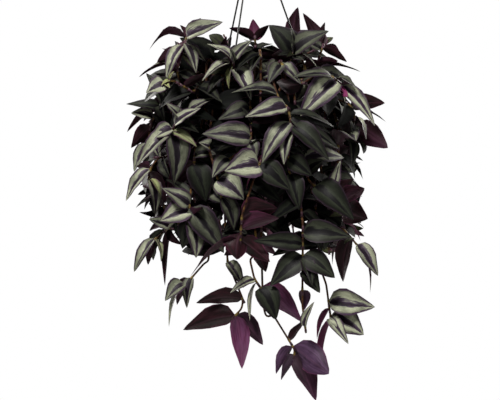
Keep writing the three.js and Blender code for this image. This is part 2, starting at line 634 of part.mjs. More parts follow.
function ruledLeaf(stem, distance, rank, shootKey, leafKey, attempt) {
  const draw = (range, which) => between(...range, shootKey, leafKey, attempt, which);
  const { point: base, heading } = along(stem, distance);
  const [middle] = girth(base.z);
  const outward = new THREE.Vector3(base.x - middle, base.y, 0).normalize();
  const sideways = new THREE.Vector3(-outward.y, outward.x, 0).multiplyScalar(rank);
  const spread = radians(draw(stem.shoot ? RULE.frontSpread : RULE.spread, 1));
  const climb = draw(heading.z > 0 ? RULE.climb : RULE.droop, 2);
  const axis = outward.clone().multiplyScalar(Math.cos(spread));
  axis.addScaledVector(sideways, Math.sin(spread));
  axis.z += climb;
  axis.normalize();
  const young = Math.min(1, RULE.youngest + (stem.total - distance) / RULE.growing);
  const length = draw(RULE.length, 3) * young;
  const tip = base.clone().addScaledVector(axis, length);
  const light = outward.clone().multiplyScalar(RULE.light[0]);
  light.z += RULE.light[1];
  const flip = draw([0, 1], 4) < RULE.flips ? RULE.flip : 0;
  const normal = turned(square(light, axis), axis, flip + draw(RULE.roll, 5));
  return { base, tip, normal, wide: length * draw(RULE.wide, 6), arch: draw(RULE.arch, 7) };
}

function halfWidth(part) {
  return Math.sin(Math.PI * part ** FORM.outline[0]) ** FORM.outline[1];
}

// Four corners of a blade's section: left edge, top of the midrib, right edge, bottom of the midrib

function section(leaf, part, half, thick) {
  const axis = leaf.tip.clone().sub(leaf.base);
  const length = axis.length();
  axis.normalize();
  const across = axis.clone().cross(leaf.normal);
  const rise = leaf.arch * length * 4 * part * (1 - part) * (FORM.lean[0] - FORM.lean[1] * part);
  const middle = leaf.base.clone().addScaledVector(axis, length * part).addScaledVector(leaf.normal, rise);
  const fold = half * (FORM.fold[0] - FORM.fold[1] * part);
  const left = middle.clone().addScaledVector(across, -half).addScaledVector(leaf.normal, fold);
  const right = middle.clone().addScaledVector(across, half).addScaledVector(leaf.normal, fold);
  const top = middle.clone().addScaledVector(leaf.normal, thick / 2);
  const bottom = middle.clone().addScaledVector(leaf.normal, -thick / 2);
  return [left, top, right, bottom];
}

// A blade's root is an upright edge inside its stem. extra thickens and widens the blade, and from skips
// its root, both only for the clearance tests.

function bladeSolid(leaf, extra = 0, from = 0) {
  const start = from > 0 ? from : BLADE.rootAt / leaf.base.distanceTo(leaf.tip);
  const [, top, , bottom] = section(leaf, start, 0, BLADE.rootThick + extra * 2);
  const points = [top, bottom];
  for (const part of leaf.wide < BLADE.narrow ? FORM.narrow : FORM.wide) {
    const half = (leaf.wide / 2) * halfWidth(part);
    points.push(...section(leaf, part, half + extra, BLADE.thick + extra * 2));
  }
  points.push(section(leaf, 1, 0, 0)[1].addScaledVector(leaf.tip.clone().sub(leaf.base).normalize(), extra));
  const tip = points.length - 1;
  const faces = [[0, 2, 1], [0, 3, 2], [0, 4, 3], [0, 1, 4], [1, 5, 4], [1, 2, 5]];
  for (let ring = 2; ring < tip - 4; ring += 4) {
    for (let k = 0; k < 4; k += 1) {
      const [a, b] = [ring + k, ring + ((k + 1) % 4)];
      faces.push([a, b, b + 4], [a, b + 4, a + 4]);
    }
  }
  for (let k = 0; k < 4; k += 1) {
    faces.push([tip - 4 + k, tip - 4 + ((k + 1) % 4), tip]);
  }
  return solidOf(points.flatMap((point) => point.toArray()), faces.flat());
}

// Solids

function solidOf(vertices, triangles) {
  const mesh = { numProp: 3, vertProperties: new Float32Array(vertices), triVerts: new Uint32Array(triangles) };
  return new wasm.Manifold(new wasm.Mesh(mesh));
}

function solidFrom(geometry) {
  const bare = geometry.clone();
  bare.deleteAttribute("normal");
  bare.deleteAttribute("uv");
  const merged = mergeVertices(bare, 1e-4);
  return solidOf(merged.attributes.position.array, merged.index.array);
}

function geometryOf(solid) {
  const mesh = solid.getMesh();
  const geometry = new THREE.BufferGeometry();
  geometry.setAttribute("position", new THREE.BufferAttribute(new Float32Array(mesh.vertProperties), 3));
  geometry.setIndex(new THREE.BufferAttribute(new Uint32Array(mesh.triVerts), 1));
  geometry.computeVertexNormals();
  return geometry;
}

function tube(curve, radius, sides, steps) {
  const shape = new THREE.Shape();
  for (let k = 0; k < sides; k += 1) {
    const angle = (2 * Math.PI * k) / sides;
    shape[k === 0 ? "moveTo" : "lineTo"](radius * Math.cos(angle), radius * Math.sin(angle));
  }
  shape.closePath();
  return solidFrom(new THREE.ExtrudeGeometry(shape, { extrudePath: curve, steps, bevelEnabled: false }));
}

function lathe(profile, segments) {
  const points = profile.map(([radius, z]) => new THREE.Vector2(radius, z));
  const geometry = new THREE.LatheGeometry(points, segments);
  geometry.rotateX(Math.PI / 2);
  return solidFrom(geometry);
}

// The pot, its soil, the strands and the hook

function strandEnds(angle) {
  const bearing = radians(angle);
  const top = polar(STRAND.topRadius, bearing, STRAND.topHeight);
  return [top, polar(STRAND.reach, bearing, POT.rim + STRAND.rise)];
}

function strandSolid(angle) {
  const [top, lipTop] = strandEnds(angle);
  const under = POT.rim - POT.lipThick - GAP - STRAND.bead;
  const foot = polar(STRAND.reach, radians(angle), under);
  const bead = new THREE.SphereGeometry(STRAND.bead, STRAND.sides, 4);
  bead.rotateX(Math.PI / 2);
  bead.translate(foot.x, foot.y, foot.z);
  const elbow = lipTop.clone().setZ(lipTop.z + STRAND.radius / 2);
  const long = tube(new THREE.LineCurve3(top, lipTop), STRAND.radius, STRAND.sides, 1);
  const short = tube(new THREE.LineCurve3(elbow, foot), STRAND.radius, STRAND.sides, 1);
  return long.add(short).add(solidFrom(bead));
}

function hookSolid() {
  const bend = [];
  for (let k = 0; k <= HOOK.bendSteps; k += 1) {
    const angle = radians(HOOK.bendFrom + ((HOOK.bendTo - HOOK.bendFrom) * k) / HOOK.bendSteps);
    bend.push(new THREE.Vector3(HOOK.bend * Math.cos(angle), 0, HOOK.bendHeight + HOOK.bend * Math.sin(angle)));
  }
  const shank = [new THREE.Vector3(0, 0, HOOK.hubTop - HOOK.wire), new THREE.Vector3(0, 0, HOOK.shankTop)];
  const curve = new THREE.CatmullRomCurve3([...shank, ...bend], false, "centripetal");
  const wire = tube(curve, HOOK.wire / 2, 6, 16);
  const hub = lathe([
    [0, HOOK.hubBottom],
    [HOOK.hubRadius - 1, HOOK.hubBottom],
    [HOOK.hubRadius, HOOK.hubBottom + 1],
    [HOOK.hubRadius, HOOK.hubBottom + HOOK.shoulder],
    [HOOK.wire * 0.8, HOOK.hubTop - 1],
    [0, HOOK.hubTop],
  ], HOOK.sides);
  let solid = hub.add(wire);
  for (const angle of STRAND_ANGLES) {
    const [top, foot] = strandEnds(angle);
    const line = foot.clone().sub(top).normalize();
    const ends = [top.clone().addScaledVector(line, -GAP), foot];
    solid = solid.subtract(tube(new THREE.LineCurve3(...ends), STRAND.radius + GAP, STRAND.sides, 1));
  }
  return solid;
}

function potSolid() {
  const { rim, height, inside: open, base, wall, lip, lipThick, skirt, foot, sides } = POT;
  const floor = rim - height;
  let solid = lathe([
    [0, floor + foot],
    [base - 10, floor + foot],
    [base - 8, floor],
    [base - 1, floor],
    [base, floor + 1],
    [open + wall, rim - lipThick],
    [lip - 2, rim - lipThick],
    [lip - 2, rim - skirt],
    [lip, rim - skirt],
    [lip, rim - 1],
    [lip - 1, rim],
    [open, rim],
    [base - wall, floor + foot + wall],
    [0, floor + foot + wall],
  ], sides);
  for (const angle of STRAND_ANGLES) {
    const centre = polar(STRAND.reach, radians(angle), 0);
    const ends = [centre.clone().setZ(rim + 2), centre.clone().setZ(rim - lipThick - 2)];
    solid = solid.subtract(tube(new THREE.LineCurve3(...ends), STRAND.holeRadius, 8, 1));
  }
  return solid;
}

function soilSolid(stems) {
  const { rim, height, inside: open, base, wall, foot } = POT;
  const floor = rim - height + foot + wall;
  const top = rim - SOIL.below;
  const outer = (z) => base - wall + ((open - base + wall) * (z - floor)) / (rim - floor) - 2 * GAP;
  let solid = lathe([
    [0, floor + GAP],
    [outer(floor + GAP), floor + GAP],
    [outer(top - SOIL.dome), top - SOIL.dome],
    [SOIL.flat, top],
    [0, top],
  ], SOIL.sides);
  for (const { points } of stems) {
    const { x, y } = points[0];
    const ends = [new THREE.Vector3(x, y, top + 4), new THREE.Vector3(x, y, top - SOIL.holeDepth)];
    solid = solid.subtract(tube(new THREE.LineCurve3(...ends), SOIL.holeRadius, 4, 1));
  }
  return solid;
}

// Leafy stems: stems first, then each leaf at its first try that is clear of all that stands already

function boundsOf(solid) {
  const { min, max } = solid.boundingBox();
  return new THREE.Box3(new THREE.Vector3(...min), new THREE.Vector3(...max));
}

function meets(a, b) {
  if (!a.box.intersectsBox(b.box)) {
    return false;
  }
  const shared = a.solid.intersect(b.solid);
  const empty = shared.isEmpty();
  shared.delete();
  return !empty;
}

function pieceOf(solid, owner) {
  return { solid, owner, box: boundsOf(solid) };
}

function growLeaf(tryLeaf, owner, standing) {
  for (let attempt = 0; attempt < TRIES; attempt += 1) {
    const leaf = tryLeaf(attempt);
    if (leaf) {
      const whole = pieceOf(bladeSolid(leaf, BLADE.clear), owner);
      const outer = pieceOf(bladeSolid(leaf, BLADE.clear, BLADE.free), owner);
      const blocked = standing.some((other) => meets(other.owner === owner ? outer : whole, other));
      outer.solid.delete();
      if (!blocked) {
        standing.push(whole);
        return leaf;
      }
      whole.solid.delete();
    }
  }
  return null;
}

function fits(leaf) {
  const middle = leaf.base.clone().lerp(leaf.tip, RULE.middle);
  return inside(leaf.tip) && inside(middle) ? leaf : null;
}

// The stretch of a stem that bears leaves by the rule: to its tip, or up to what the picture shows of it

function leafStretch(stem, shoot) {
  const out = ({ point: { x, y, z } }) => Math.hypot(x, y) > POT.lip + BARE.past || z > POT.rim + BARE.above;
  const from = stem.marks.find(out).distance;
  if (!shoot) {
    return [from, stem.total - STEM.end];
  }
  const first = at(shoot.way[0], shoot.way[0][2]);
  return [from, Math.max(from, markNearest(stem, (point) => point.distanceTo(first)).distance)];
}

function stemSolid({ points }, extra = 0) {
  return tube(new Chords(points), STEM.radius + extra, STEM.sides, points.length - 1);
}

function apart(stem, others) {
  const [a] = stem.points;
  return others.every(({ points: [b] }) => Math.hypot(a.x - b.x, a.y - b.y) > SOIL.between);
}

function growStem(name, shoot, routeTry, stems, standing) {
  for (let attempt = 0; attempt < ROOT_TRIES.turns * RINGS.length; attempt += 1) {
    const stem = { name, shoot, leaves: [], ...stemAlong(routeTry(attempt)) };
    const piece = pieceOf(stemSolid(stem, STEM.clear), name);
    if (apart(stem, stems) && !standing.some((other) => meets(piece, other))) {
      standing.push(piece);
      stem.solid = stemSolid(stem);
      return stem;
    }
    piece.solid.delete();
  }
  throw new Error(`no clear way for the stem ${name}`);
}

function growStems(fixed) {
  const around = Array.from({ length: AROUND.count }, (_, key) => key);
  const wanted = [
    ...SHOOTS.map((shoot) => [shoot.name, shoot, (attempt) => frontRoute(shoot, attempt)]),
    ...around.map((key) => [`around_${key + 1}`, null, (attempt) => aroundRoute(key, attempt)]),
    ...RISING.map((row, key) => [`rising_${key + 1}`, null, (attempt) => risingRoute(row, attempt)]),
  ];
  const standing = [...fixed];
  const stems = [];
  for (const [name, shoot, routeTry] of wanted) {
    stems.push(growStem(name, shoot, routeTry, stems, standing));
  }
  stems.forEach((stem, shootKey) => {
    (stem.shoot?.leaves ?? []).forEach((leaf, leafKey) => {
      const tryLeaf = (attempt) => placedLeaf(stem, leaf, shootKey, leafKey, attempt);
      stem.leaves.push(growLeaf(tryLeaf, stem.name, standing));
    });
  });
  stems.forEach((stem, shootKey) => {
    const [from, to] = leafStretch(stem, stem.shoot);
    const kind = stem.shoot ? "front" : stem.name.split("_")[0];
    const count = Math.max(1, Math.round((to - from) / SPACING[kind]));
    for (let k = stem.shoot ? 1 : 0; k <= count; k += 1) {
      const rank = k % 2 === 0 ? 1 : -1;
      const distance = from + ((to - from) * k) / count;
      const tryLeaf = (attempt) => fits(ruledLeaf(stem, distance, rank, shootKey, DRAW.rule + k, attempt));
      stem.leaves.push(growLeaf(tryLeaf, stem.name, standing));
    }
  });
  return stems;
}

function leafyStem(stem) {
  let solid = stem.solid;
  for (const leaf of stem.leaves) {
    if (leaf) {
      solid = solid.add(bladeSolid(leaf));
    }
  }
  return solid;
}

// The whole object

function material(colour, roughness) {
  return new THREE.MeshStandardMaterial({ color: colour, roughness, metalness: 0 });
}

const group = new THREE.Group();

function add(name, solid, colour, roughness) {
  const mesh = new THREE.Mesh(geometryOf(solid), material(colour, roughness));
  mesh.name = name;
  group.add(mesh);
  return mesh;
}

const hook = hookSolid();
const pot = potSolid();
const strands = STRAND_ANGLES.map(strandSolid);
const stems = growStems([hook, pot, ...strands].map((solid) => pieceOf(solid, "fixed")));

add("hook", hook, COLOURS.hook, 0.45);
strands.forEach((strand, k) => add(`strand_${k + 1}`, strand, COLOURS.strand, 0.5));
add("pot", pot, COLOURS.pot, 0.5);
add("soil", soilSolid(stems), COLOURS.soil, 0.95);
for (const stem of stems) {
  add(stem.name, leafyStem(stem), COLOURS.leaf, 0.5);
}
export default group;
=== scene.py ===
"""Hanging potted tradescantia: finer leaves, stems, pot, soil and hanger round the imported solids."""

import json
import math
from collections import namedtuple
from functools import partial

import bmesh
import bpy
import numpy as np
from bpy.props import FloatProperty, FloatVectorProperty, IntProperty, PointerProperty
from bpy.types import Operator, Panel, PropertyGroup
from mathutils import Matrix, Vector
from mathutils.bvhtree import BVHTree
from mathutils.kdtree import KDTree

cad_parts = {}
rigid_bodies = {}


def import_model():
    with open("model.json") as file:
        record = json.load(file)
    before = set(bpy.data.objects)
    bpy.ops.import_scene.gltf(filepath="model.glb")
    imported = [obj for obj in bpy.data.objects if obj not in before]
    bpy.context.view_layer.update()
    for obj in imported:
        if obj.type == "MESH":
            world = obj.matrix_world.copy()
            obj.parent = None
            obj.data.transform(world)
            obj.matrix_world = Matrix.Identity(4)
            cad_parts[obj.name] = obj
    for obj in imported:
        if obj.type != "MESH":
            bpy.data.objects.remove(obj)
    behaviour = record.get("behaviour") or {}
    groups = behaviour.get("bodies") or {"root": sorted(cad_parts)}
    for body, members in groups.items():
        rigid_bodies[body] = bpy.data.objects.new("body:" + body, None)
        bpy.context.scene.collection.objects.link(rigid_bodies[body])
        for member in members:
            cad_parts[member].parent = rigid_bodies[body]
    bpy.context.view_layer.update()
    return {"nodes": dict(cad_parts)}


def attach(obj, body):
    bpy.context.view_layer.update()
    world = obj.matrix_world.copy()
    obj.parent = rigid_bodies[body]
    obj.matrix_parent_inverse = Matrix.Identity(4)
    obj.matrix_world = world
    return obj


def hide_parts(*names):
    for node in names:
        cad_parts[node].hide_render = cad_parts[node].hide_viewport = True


bl_info = {
    "name": "Hanging Potted Tradescantia",
    "version": (1, 0, 0),
    "blender": (4, 5, 0),
    "location": "3D View > Sidebar > Tradescantia",
    "description": "Dresses the packed plant with leaves, stems, pot, soil, hanger and a studio",
    "category": "Object",
}

for spare in list(bpy.data.objects):
    bpy.data.objects.remove(spare)
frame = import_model()
NODES = frame["nodes"]
MM = 0.001

# The plant's driving dimensions, in millimetres, +Z up, measured from the point that the hook hangs by

HOOK = {"wire": 4.5, "bend": 15.25, "bend_height": -13, "bend_from": 215, "bend_to": -50, "shank_top": -34,
        "hub_top": -40, "hub_bottom": -62, "hub_radius": 8, "shoulder": 8}
POT = {"rim": -281, "height": 125, "inside": 80, "base": 58, "wall": 2, "lip": 91, "lip_thick": 2.4,
       "skirt": 7, "foot": 3}
SOIL = {"below": 14, "dome": 5, "flat": 72, "hole_depth": 20}
STRAND = {"radius": 1, "top_radius": 4.5, "top_height": -52, "reach": 86, "bead": 2.5, "rise": 4}
STRAND_ANGLES = [7.2, 127.2, 247.2]
GAP = 0.3
STEM = {"radius": 2.4, "fine": 20, "turn": 28, "chord": 110, "mark": 3, "end": 2}

# The photograph's frame: 1.5 mm for each of its 500 by 400 points, from 2.4 m in front of the plant

VIEW = {"scale": 1.5, "middle": (250, 200), "centre": (-6, -453), "distance": 2400}

# Left and right limits of the foliage, in picture points: (height, left, right)

OUTLINE = [(8, 290, 304), (20, 236, 314), (32, 190, 332), (45, 158, 338), (60, 150, 350), (75, 142, 358),
           (90, 136, 364), (105, 128, 376), (145, 130, 376), (158, 140, 364), (190, 136, 364),
           (206, 134, 368), (222, 144, 368), (240, 146, 370), (266, 140, 374), (282, 166, 364)]

Shoot = namedtuple("Shoot", "name ring way leaves")

# Front shoots: name, ring of holes, the stem's way in picture points and depth, and its leaves. A leaf is
# where it leaves the stem (2), its tip (2), how much nearer the tip is, its width in mm, how far its upper
# face is turned up from the viewer in degrees and, for a strongly arched one, its arch.

SHOOTS = [
    ("lowest", 0, ((262, 292, 122), (274, 316, 134), (283, 332, 138), (294, 347, 138), (294, 358, 136)), (
     (293, 346, 329, 374, 32, 44, 164), (294, 354, 316, 401, -8, 36, 162), (293, 347, 276, 374, 10, 19, 148),
     (294, 355, 281, 380, -10, 17, 152), (289, 340, 306, 319, -8, 14, 145))),
    ("crown_left", 1, ((182, 84, 62), (177, 70, 70), (182, 50, 78), (187, 36, 80)), (
     (187, 37, 223, 22, 18, 30, 30), (187, 36, 201, 18, -4, 17, 150), (186, 37, 149, 50, 10, 25, 112, 0.26),
     (187, 36, 180, 25, -10, 12, 150), (183, 46, 166, 80, 22, 21, 25), (181, 50, 206, 62, -6, 24, 45),
     (181, 52, 157, 62, 6, 25, 158), (184, 44, 196, 73, 24, 20, 35), (178, 66, 141, 75, 2, 22, 70),
     (178, 72, 203, 88, 8, 24, 45))),
    ("left_young", 2, ((194, 92, 80), (182, 84, 94), (171, 80, 100), (163, 86, 100)), (
     (170, 80, 161, 86, 10, 8, 40), (170, 80, 174, 71, 4, 8, 50), (164, 85, 146, 93, 6, 31, 28),
     (164, 85, 170, 88, 14, 8, 40), (172, 80, 142, 104, -14, 24, 20), (186, 84, 206, 74, 14, 13, 150))),
    ("crown_middle", 1, ((244, 86, 62), (237, 74, 88), (231, 62, 100)), (
     (231, 62, 207, 44, 12, 25, 58), (231, 61, 252, 40, 6, 23, 38), (232, 64, 226, 48, 6, 12, 80),
     (232, 64, 202, 81, 16, 20, 50), (235, 68, 216, 62, -8, 22, 45), (233, 66, 229, 89, 14, 15, 55),
     (236, 70, 252, 98, 24, 31, 15))),
    ("crown_back", 0, ((257, 80, -18), (259, 60, -8), (255, 38, 2)), (
     (255, 38, 229, 28, -4, 17, 138), (255, 38, 269, 25, 4, 15, 150), (256, 41, 253, 19, -10, 22, 165),
     (258, 52, 273, 44, 10, 18, 60), (258, 56, 236, 47, 4, 22, 50), (259, 62, 261, 78, 26, 18, 45),
     (258, 66, 278, 74, 10, 24, 45))),
    ("crown_right", 1, ((285, 84, 58), (286, 68, 66), (294, 51, 70)), (
     (294, 51, 269, 25, -2, 40, 20), (294, 51, 290, 27, 12, 19, 60), (294, 51, 329, 31, 8, 34, 30),
     (293, 53, 317, 67, 20, 13, 68), (287, 66, 247, 58, 12, 20, 118), (286, 70, 301, 76, 16, 18, 140))),
    ("crown_peak", 0, ((299, 80, -38), (298, 60, -36), (294, 38, -34)), (
     (294, 39, 298, 7, 2, 25, 160), (295, 43, 313, 30, -16, 22, 50), (296, 48, 280, 30, -12, 26, 40),
     (298, 56, 328, 58, -10, 26, 45))),
    ("crown_far_right", 1, ((311, 82, 0), (319, 64, 2), (323, 46, 4)), (
     (323, 47, 325, 22, 0, 17, 160), (323, 48, 304, 13, -10, 25, 152), (323, 48, 347, 62, 10, 18, 135),
     (320, 62, 338, 61, 16, 14, 150), (318, 68, 361, 72, 18, 15, 96), (322, 52, 304, 42, 6, 22, 40))),
    ("right_shoulder", 2, ((302, 84, 92), (318, 75, 104), (333, 77, 96), (342, 87, 88)), (
     (332, 77, 292, 77, 24, 23, 52), (338, 81, 299, 117, 20, 42, 14), (342, 87, 375, 126, 12, 27, 26),
     (336, 79, 356, 88, 14, 20, 62), (342, 87, 346, 102, 14, 11, 40), (303, 80, 293, 101, 14, 27, 18),
     (341, 85, 362, 96, -12, 20, 150))),
    ("right_edge", 2, ((322, 92, 24), (342, 98, 26), (354, 112, 24), (354, 130, 20), (350, 150, 20)), (
     (354, 126, 388, 148, 4, 38, 158), (350, 106, 385, 103, -6, 28, 150), (354, 116, 366, 140, 24, 14, 62),
     (352, 110, 386, 122, 14, 17, 80), (352, 141, 352, 167, 14, 20, 30), (351, 146, 332, 174, 10, 22, 140))),
    ("front_upper", 2, ((276, 96, 118), (287, 106, 136), (292, 124, 144), (290, 140, 146),
     (287, 156, 140), (290, 176, 132)), (
     (287, 107, 245, 117, 20, 31, 28, 0.06), (291, 122, 262, 163, 16, 31, 24),
     (291, 130, 284, 165, 16, 22, 30), (292, 126, 329, 160, 18, 33, 26), (291, 117, 341, 150, -10, 22, 30),
     (281, 100, 240, 99, 0, 15, 82), (289, 114, 334, 127, -10, 20, 58), (287, 158, 312, 176, 6, 28, 10),
     (290, 174, 300, 212, 6, 30, 15), (289, 172, 272, 200, -6, 30, 20))),
    ("front_left_upper", 1, ((250, 100, 106), (254, 120, 128), (251, 139, 138),
     (240, 152, 138), (228, 160, 134)), (
     (251, 139, 202, 134, 16, 39, 22), (254, 124, 240, 106, 10, 15, 60), (252, 108, 218, 120, 8, 28, 20),
     (230, 159, 212, 178, 8, 26, 25), (250, 141, 256, 160, 14, 22, 15))),
    ("front_long", 2, ((268, 138, 128), (262, 163, 152), (253, 182, 160), (245, 200, 162),
     (242, 214, 162), (243, 230, 160), (240, 244, 156)), (
     (260, 165, 225, 171, 16, 46, 16), (258, 172, 246, 191, 12, 11, 80), (261, 165, 290, 190, 8, 35, 12),
     (242, 218, 277, 208, 4, 40, 162), (243, 229, 279, 218, 18, 30, 150), (242, 234, 236, 259, 12, 36, 162),
     (241, 239, 190, 277, 8, 25, 110), (241, 240, 270, 262, 2, 28, 165))),
    ("mid_left", 1, ((208, 140, 108), (214, 160, 128), (219, 181, 138), (222, 200, 138)), (
     (219, 179, 244, 200, 12, 43, 16), (222, 200, 234, 230, -4, 28, 25), (210, 148, 198, 142, 4, 22, 40))),
    ("left_middle", 2, ((198, 138, 96), (193, 160, 112), (191, 186, 120), (189, 212, 122), (192, 226, 118)), (
     (189, 213, 160, 221, 14, 38, 30), (190, 217, 196, 258, 16, 34, 26), (190, 220, 181, 250, -2, 28, 30),
     (190, 208, 224, 253, 8, 40, 16), (190, 206, 162, 188, 8, 29, 28), (190, 199, 166, 180, -10, 22, 42),
     (193, 162, 172, 196, 26, 30, 158), (193, 158, 216, 154, 8, 25, 38), (193, 164, 206, 202, 4, 38, 10))),
    ("left_upper", 2, ((200, 106, 90), (188, 112, 106), (177, 122, 114), (171, 133, 114)), (
     (172, 132, 137, 166, 10, 28, 34), (171, 133, 173, 184, 18, 38, 20), (172, 132, 197, 147, 12, 21, 40),
     (175, 125, 201, 108, 12, 22, 44), (178, 121, 184, 93, 0, 18, 40), (173, 130, 151, 137, 4, 26, 30),
     (180, 119, 166, 103, -2, 19, 45), (189, 111, 215, 98, 8, 20, 45))),
    ("left_edge", 2, ((186, 102, 30), (168, 102, 42), (155, 114, 42), (149, 130, 40), (150, 148, 38)), (
     (153, 118, 131, 113, 4, 22, 32), (158, 110, 127, 132, -2, 16, 122), (150, 127, 131, 148, 4, 24, 148),
     (158, 107, 126, 104, 6, 20, 34), (162, 106, 146, 73, -4, 18, 30), (150, 145, 134, 172, -4, 24, 35),
     (149, 138, 160, 160, 14, 24, 30))),
    ("left_lower", 2, ((172, 150, 48), (158, 158, 58), (149, 172, 62), (150, 188, 60)), (
     (150, 170, 126, 201, 10, 23, 36), (149, 178, 155, 216, 12, 24, 36), (150, 180, 161, 194, 12, 13, 40),
     (150, 171, 166, 204, -8, 20, 150), (150, 169, 136, 166, -6, 18, 140))),
    ("left_low", 1, ((180, 216, 62), (168, 228, 72), (153, 241, 74)), (
     (153, 241, 134, 272, 8, 20, 35), (153, 241, 148, 265, 0, 17, 140), (155, 239, 161, 262, 14, 13, 50),
     (166, 229, 157, 265, -4, 22, 20), (171, 225, 165, 286, 8, 13, 140), (169, 227, 149, 219, 12, 22, 35))),
    ("left_lowest", 1, ((210, 240, 92), (204, 264, 104), (194, 276, 108), (183, 286, 108)), (
     (192, 277, 187, 309, 4, 20, 30), (184, 285, 165, 301, 12, 27, 30), (185, 284, 169, 327, 4, 12, 60),
     (190, 279, 177, 305, -10, 20, 150))),
    ("right_middle", 2, ((302, 160, 116), (312, 184, 130), (330, 191, 116),
     (342, 204, 100), (346, 218, 96)), (
     (314, 186, 354, 220, 22, 41, 20), (332, 191, 329, 205, 32, 22, 34), (334, 195, 341, 160, -4, 23, 36),
     (328, 190, 330, 174, 2, 14, 50), (337, 199, 353, 179, 0, 25, 152), (342, 205, 362, 190, 4, 30, 150),
     (344, 212, 370, 219, 8, 40, 157), (306, 172, 324, 160, 6, 28, 30))),
    ("right_low", 1, ((326, 214, 82), (343, 228, 86), (358, 246, 80)), (
     (350, 236, 343, 282, 10, 27, 155), (358, 246, 378, 276, 8, 28, 30), (358, 246, 370, 293, -4, 14, 96),
     (346, 231, 336, 265, -6, 18, 110))),
    ("front_right_long", 1, ((300, 200, 136), (303, 226, 148), (298, 254, 154), (299, 272, 154),
     (301, 290, 152), (303, 312, 148), (306, 333, 144)), (
     (302, 232, 351, 237, 10, 35, 16), (301, 244, 253, 241, 12, 27, 8), (298, 255, 270, 286, 10, 35, 16),
     (298, 256, 335, 278, 14, 35, 16), (298, 260, 312, 287, 24, 22, 28), (299, 270, 320, 293, 12, 25, 22),
     (301, 290, 305, 312, 8, 18, 150), (305, 328, 313, 304, 10, 14, 50))),
    ("right_lowest", 2, ((318, 246, 112), (323, 274, 124), (329, 292, 128),
     (331, 303, 128), (331, 320, 126)), (
     (331, 301, 375, 307, 2, 39, 18), (331, 315, 364, 335, 30, 44, 10), (331, 308, 317, 339, 12, 10, 150),
     (331, 319, 321, 372, 2, 12, 150))),
    ("low_middle", 1, ((256, 236, 124), (250, 260, 138), (254, 278, 146), (262, 290, 146)), (
     (261, 289, 276, 320, 12, 35, 14), (261, 289, 302, 322, -2, 35, 160), (255, 280, 230, 293, 12, 18, 42),
     (256, 282, 250, 321, 12, 12, 62), (252, 252, 266, 272, 6, 26, 150))),
    ("left_tail", 2, ((226, 246, 104), (232, 272, 118), (242, 294, 130), (242, 308, 134), (234, 317, 136)), (
     (242, 300, 196, 303, 16, 27, 150), (235, 316, 183, 330, 8, 35, 164), (235, 316, 242, 369, 12, 29, 165),
     (237, 314, 263, 345, 4, 26, 160), (231, 262, 243, 288, 10, 20, 18))),
]

# Long shoots round the sides and the back, short ones that rise at the back, and the rings of holes

AROUND = {"count": 21, "first": -20, "apart": 11, "rings": (1, 2), "reach": (0.8, 0.63), "end": (190, 255),
          "behind": 10, "below": 40, "step": 60, "out": 20, "spread": (0.45, 0.3), "sway": 4}
DEPTH_HALF = 150
DEPTH_SLACK = 1.04
RISING = [(20, 0, 105, -222), (72, 0, 110, -205), (118, 0, 100, -196), (160, 0, 120, -216),
          (205, 0, 52, -226), (250, 0, 38, -232), (335, 0, 56, -224)]
RISE = {"part": 0.62, "height": 40}
RINGS = [24, 44, 64]
ROOT = {"above": 8, "within": 4, "high": 12, "lift": (34, 11), "over": (16, 3), "down": 0.35}
ROOT_TRIES = {"turns": 19, "apart": 3}

# Leaves placed by a rule: their spacing, where on a stem they start and the ranges they are drawn from

SPACING = {"front": 90, "around": 37, "rising": 24}
BARE = {"past": 4, "above": 36}
RULE = {"spread": (12, 88), "front_spread": (60, 125), "climb": (-0.3, 0.7), "droop": (-0.95, 0.1),
        "length": (56, 82), "wide": (0.38, 0.48), "arch": (0.06, 0.16), "roll": (-38, 38),
        "light": (0.6, 0.75), "flips": 0.22, "flip": 150, "youngest": 0.5, "growing": 160}
LOOSE = {"near": (-34, 34), "tip": (-5, 5), "face": (-22, 22), "full": 6}
ARCH = 0.1
TRIES = 26
SEED = 7
DRAW = {"sway": 11, "length": 12, "rule": 100, "fill": 300, "inner_look": 500, "look": 600, "more": 800}
FORM = {"outline": (0.62, 0.78), "lean": (1.25, 0.5), "fold": (0.34, 0.2)}


def chance(*keys):
    """A draw from 0 to 1 that is the same whenever its keys are."""
    low_bits = 0xFFFFFFFF
    h = SEED
    for key in keys:
        h = (h ^ (key + 1)) * 0x9E3779B1 & low_bits
        h ^= h >> 15
        h = h * 0x85EBCA6B & low_bits
        h ^= h >> 13
    return h / 2**32


def between(span, *keys):
    """A seeded draw from a span of two numbers."""
    return span[0] + (span[1] - span[0]) * chance(*keys)


def unit(vector):
    """The vector at length 1."""
    return vector / np.linalg.norm(vector)


def polar(radius, bearing, z):
    """A point at a radius and bearing (radians) round the plant's axis."""
    return np.array([radius * math.cos(bearing), radius * math.sin(bearing), z])


def at(across, down, depth):
    """The point in mm that the photograph shows at a picture point, at a depth towards the viewer."""
    scale = VIEW["scale"] * (VIEW["distance"] - depth) / VIEW["distance"]
    x = VIEW["centre"][0] + (across - VIEW["middle"][0]) * scale
    z = VIEW["centre"][1] - (down - VIEW["middle"][1]) * scale
    return np.array([x, -depth, z])


def seen(points):
    """Picture points of one point or a row of points, in mm."""
    points = np.asarray(points)
    scale = VIEW["scale"] * (VIEW["distance"] + points[..., 1]) / VIEW["distance"]
    across = VIEW["middle"][0] + (points[..., 0] - VIEW["centre"][0]) / scale
    down = VIEW["middle"][1] - (points[..., 2] - VIEW["centre"][1]) / scale
    return across, down


def limits(down):
    """Left and right limit of the foliage at a height in the picture."""
    heights, lefts, rights = zip(*OUTLINE)
    return np.interp(down, heights, lefts), np.interp(down, heights, rights)


